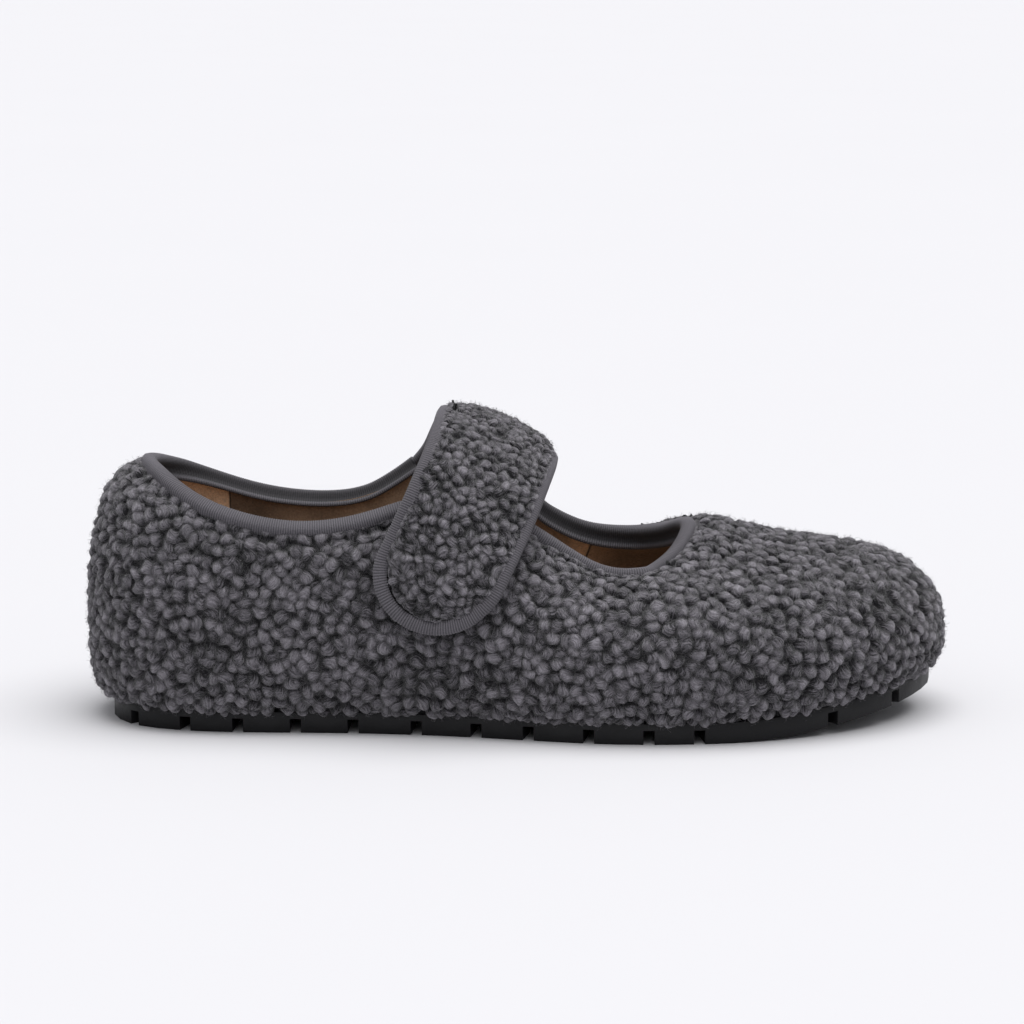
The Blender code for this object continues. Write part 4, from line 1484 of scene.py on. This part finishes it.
    def build(self, path: TapePath, finish: bpy.types.Material, tree: bpy.types.NodeTree) -> None:
        """Sweeps the tape and gives it its ribs.

        Args:
            path: the line that it runs along.
            finish: the tape's material.
            tree: the ribs' tree.
        """
        section = np.array(self.section)
        points = (
            path.middles[:, None]
            + path.edge[:, None] * section[None, :, :1]
            + path.off[:, None] * section[None, :, 1:2]
        )
        count = len(points)
        around = len(section)
        lengths = np.linalg.norm(np.diff(points[0], axis=0, append=points[0][:1]), axis=1)
        girth = np.concatenate([[0.0], np.cumsum(lengths)[:-1]])
        faces = []
        for i in range(count - 1):
            for j in range(around):
                k = (j + 1) % around
                faces.append((i * around + j, i * around + k, (i + 1) * around + k, (i + 1) * around + j))
        faces.append(tuple(range(around - 1, -1, -1)))
        faces.append(tuple((count - 1) * around + j for j in range(around)))
        mesh = bpy.data.meshes.new(self.name)
        mesh.from_pydata(points.reshape(-1, 3).tolist(), [], faces)
        bm = bmesh.new()
        bm.from_mesh(mesh)
        bmesh.ops.recalc_face_normals(bm, faces=bm.faces)
        for face in bm.faces:
            face.smooth = True
        bm.to_mesh(mesh)
        bm.free()
        place = mesh.attributes.new("tape_place", "FLOAT_VECTOR", "POINT")
        values = np.zeros((count, around, 3))
        values[..., 0] = path.run[:, None]
        values[..., 1] = girth[None, :]
        values[..., 2] = section[None, :, 2]
        place.data.foreach_set("vector", values.reshape(-1))
        mesh = grown(mesh, tree, {"Rib Pitch": self.pitch, "Rib Depth": self.rib, "Finish": finish})
        hand_over(show(self.name, mesh), Slot.BINDING, [self.node], finish)


def curve_through(run: np.ndarray, values: np.ndarray, at: np.ndarray) -> np.ndarray:
    """Points on a smooth curve through others.

    Args:
        run: the distance along the path at each given point.
        values: the given points.
        at: the distances wanted.

    Returns:
        The points there.
    """
    slope = np.gradient(values, run, axis=0)
    i = np.clip(np.searchsorted(run, at, side="right") - 1, 0, len(run) - 2)
    gap = (run[i + 1] - run[i])[:, None]
    t = (at[:, None] - run[i][:, None]) / gap
    return (
        (2 * t**3 - 3 * t**2 + 1) * values[i]
        + (t**3 - 2 * t**2 + t) * gap * slope[i]
        + (3 * t**2 - 2 * t**3) * values[i + 1]
        + (t**3 - t**2) * gap * slope[i + 1]
    )


def eased(values: np.ndarray, reach: int) -> np.ndarray:
    """Evenly spaced points averaged twice with their neighbours, the ends kept.

    Args:
        values: the points.
        reach: how many neighbours on each side.

    Returns:
        The smoother points.
    """
    kernel = np.full(2 * reach + 1, 1 / (2 * reach + 1))
    for _ in range(2):
        before = 2 * values[:1] - values[reach:0:-1]
        after = 2 * values[-1:] - values[-2 : -reach - 2 : -1]
        padded = np.concatenate([before, values, after])
        values = np.stack([np.convolve(column, kernel, mode="valid") for column in padded.T], axis=1)
    return values


def rib_tree() -> bpy.types.NodeTree:
    """The tree that raises a tape's ribs across its run.

    Returns:
        The tree.
    """
    tree = new_group(
        "grosgrain_ribs",
        "GeometryNodeTree",
        {
            "Tape": ("Geometry", None),
            "Rib Pitch": ("Float", RIB_PITCH),
            "Rib Depth": ("Float", RIB_DEPTH),
            "Finish": ("Material", None),
        },
        {"Ribbed": "Geometry"},
    )
    w = Wiring(tree)
    given = w.add("NodeGroupInput").outputs
    place = w.named("tape_place", "FLOAT_VECTOR")
    run = w.add("ShaderNodeSeparateXYZ", {0: place}).outputs[0]
    phase = w.math("DIVIDE", w.math("MULTIPLY", run, 2 * math.pi), given["Rib Pitch"])
    height = w.math("MULTIPLY", w.math("COSINE", phase), given["Rib Depth"])
    offset = w.times(w.add("GeometryNodeInputNormal").outputs[0], height)
    ribbed = w.add("GeometryNodeSetPosition", {"Geometry": given["Tape"], "Offset": offset}).outputs[0]
    whole = w.add("GeometryNodeRealizeInstances", {"Geometry": ribbed}).outputs[0]
    made = w.add("GeometryNodeSetMaterial", {"Geometry": whole, "Material": given["Finish"]}).outputs[0]
    tree.links.new(made, w.add("NodeGroupOutput").inputs["Ribbed"])
    return tree


@dataclass
class SuedeInside:
    """The lining inside the upper and the footbed under it."""

    rim_at: tuple[float, float] = (-1.25, -0.72)  # where the lining ends inside the tape's fold
    lip: float = 0.6 * MM

    def build(self, tape: TapePath, finish: bpy.types.Material, plain: bpy.types.Material) -> None:
        """Makes the lining and the footbed.

        Args:
            tape: the topline's tape.
            finish: the lining suede, with its seams.
            plain: the footbed's suede.
        """
        bm = wall_side(Side.LINING, tape)
        squared(bm)
        evened(bm, 1)

        def move(vert: bmesh.types.BMVert, way: Vector) -> tuple[Vector, Vector]:
            """How the border goes on: hardly at the foot, and into the tape's fold at the topline."""
            lip = vert.normal * -self.lip
            if vert.co.z < FOOT_TOP:
                return way * FOOT_STEP, lip
            return tape.beside(vert.co, *self.rim_at, 0.0, -self.lip) or (way * 1.2 * MM, lip)

        lipped(bm, move, "nap")
        hand_over(show("suede_lining", rounded(to_mesh(bm, "suede_lining"), 2)), Slot.LINING, ["upper"], finish)
        bed = merged_copy("insole")
        squared(bed)

        def dress(worker: bpy.types.Object) -> None:
            """Rounds the footbed's edge and surface."""
            edge = worker.modifiers.new("edge", "BEVEL")
            edge.width, edge.segments, edge.limit_method = 0.6 * MM, 2, "ANGLE"
            edge.angle_limit = math.radians(40)
            surface = worker.modifiers.new("surface", "SUBSURF")
            surface.levels = surface.render_levels = 1

        hand_over(show("footbed", modified(to_mesh(bed, "footbed"), dress)), Slot.LINING, ["insole"], plain)


@dataclass
class RubberSole:
    """The moulded outsole with its lugged rim."""

    bevel: float = 0.28 * MM

    def build(self, finish: bpy.types.Material) -> None:
        """Makes the outsole.

        Args:
            finish: the rubber's material.
        """
        bm = merged_copy("outsole")
        squared(bm)

        def dress(worker: bpy.types.Object) -> None:
            """Rounds the moulded edges."""
            edge = worker.modifiers.new("edge", "BEVEL")
            edge.width, edge.segments, edge.limit_method = self.bevel, 2, "ANGLE"
            edge.angle_limit = math.radians(32)
            edge.use_clamp_overlap = True

        mesh = modified(to_mesh(bm, "outsole_rubber"), dress)
        hand_over(show("rubber_sole", mesh), Slot.RUBBER, ["outsole"], finish)


@dataclass
class Studio:
    """Floor, light and camera."""

    floor_reach: float = 40.0
    distance: float = 1.0
    elevation: float = 10.5
    target: tuple[float, float, float] = (-0.00126, 0.0, 0.0627)
    lens: float = 113.8
    sky: float = 0.44
    suns: tuple[tuple[str, float, float, float, float], ...] = (
        # name, strength, soft angle, turn and height of where it comes from, in degrees
        ("key_sun", 2.9, 60.0, -20.0, 78.0),
        ("fill_sun", 0.55, 80.0, 235.0, 62.0),
    )

    def build(self, finish: bpy.types.Material) -> None:
        """Sets the stage.

        Args:
            finish: the floor's material.
        """
        bm = bmesh.new()
        bmesh.ops.create_grid(bm, x_segments=4, y_segments=4, size=self.floor_reach)
        floor = show("floor", to_mesh(bm, "floor"))
        floor.data.materials.append(finish)
        world = bpy.data.worlds.new("studio")
        world.use_nodes = True
        back = world.node_tree.nodes["Background"]
        back.inputs["Color"].default_value = (0.96, 0.97, 1.0, 1.0)
        back.inputs["Strength"].default_value = self.sky
        bpy.context.scene.world = world
        bpy.context.scene.view_settings.view_transform = "Standard"
        for name, strength, angle, turn, height in self.suns:
            lamp = bpy.data.lights.new(name, "SUN")
            lamp.energy, lamp.angle = strength, math.radians(angle)
            holder = bpy.data.objects.new(name, lamp)
            a, e = math.radians(turn), math.radians(height)
            source = Vector((math.cos(a) * math.cos(e), math.sin(a) * math.cos(e), math.sin(e)))
            holder.rotation_euler = source.to_track_quat("Z", "Y").to_euler()
            bpy.context.scene.collection.objects.link(holder)
        camera = bpy.data.objects.new("camera", bpy.data.cameras.new("camera"))
        camera.data.lens, camera.data.sensor_width = self.lens, 36.0
        camera.data.clip_start, camera.data.clip_end = 0.05, 100.0
        e = math.radians(self.elevation)
        camera.location = Vector(self.target) + Vector((0.0, -math.cos(e), math.sin(e))) * self.distance
        camera.rotation_euler = (math.pi / 2 - e, 0.0, 0.0)
        bpy.context.scene.collection.objects.link(camera)
        bpy.context.scene.camera = camera


def main() -> None:
    """Builds the shoe's sub-assemblies in order, then the studio."""
    logging.basicConfig(level=logging.INFO, format="%(name)s: %(message)s")
    effects = Effects()
    fleece = CurlyFleece("charcoal_fleece", effects).make()
    tape = Grosgrain("grosgrain_tape", effects).make()
    suede = Suede("brown_suede", effects).make()
    rubber = SoleRubber("black_rubber", effects).make()
    pile = CurlyPile()
    growth = pile.tree()
    ribs = rib_tree()
    topline = Binding("topline_binding", "topline_tape", Vector((-1, 0, 0)), Vector((0, 0, 1)), lambda p: p.x)
    strap = Binding("strap_binding", "strap_tape", Vector((0, -1, 0)), Vector((0, 0, -1)), lambda p: p.z, True)
    top_path, strap_path = topline.path(), strap.path()
    FleeceUpper(pile).build(top_path, fleece, growth)
    shorter = CurlyPile(spacing=2.35 * MM, crevice=1.25 * MM, rise=0.6 * MM, droop=0.3 * MM, seed=21)
    FleeceStrap(shorter).build(strap_path, fleece, suede, growth)
    topline.build(top_path, tape, ribs)
    strap.build(strap_path, tape, ribs)
    SuedeInside().build(top_path, suede, Suede("footbed_suede", effects, seams=()).make())
    RubberSole().build(rubber)
    Studio().build(StudioFloor("pale_floor", effects).make())


if __name__ == "__main__":
    main()
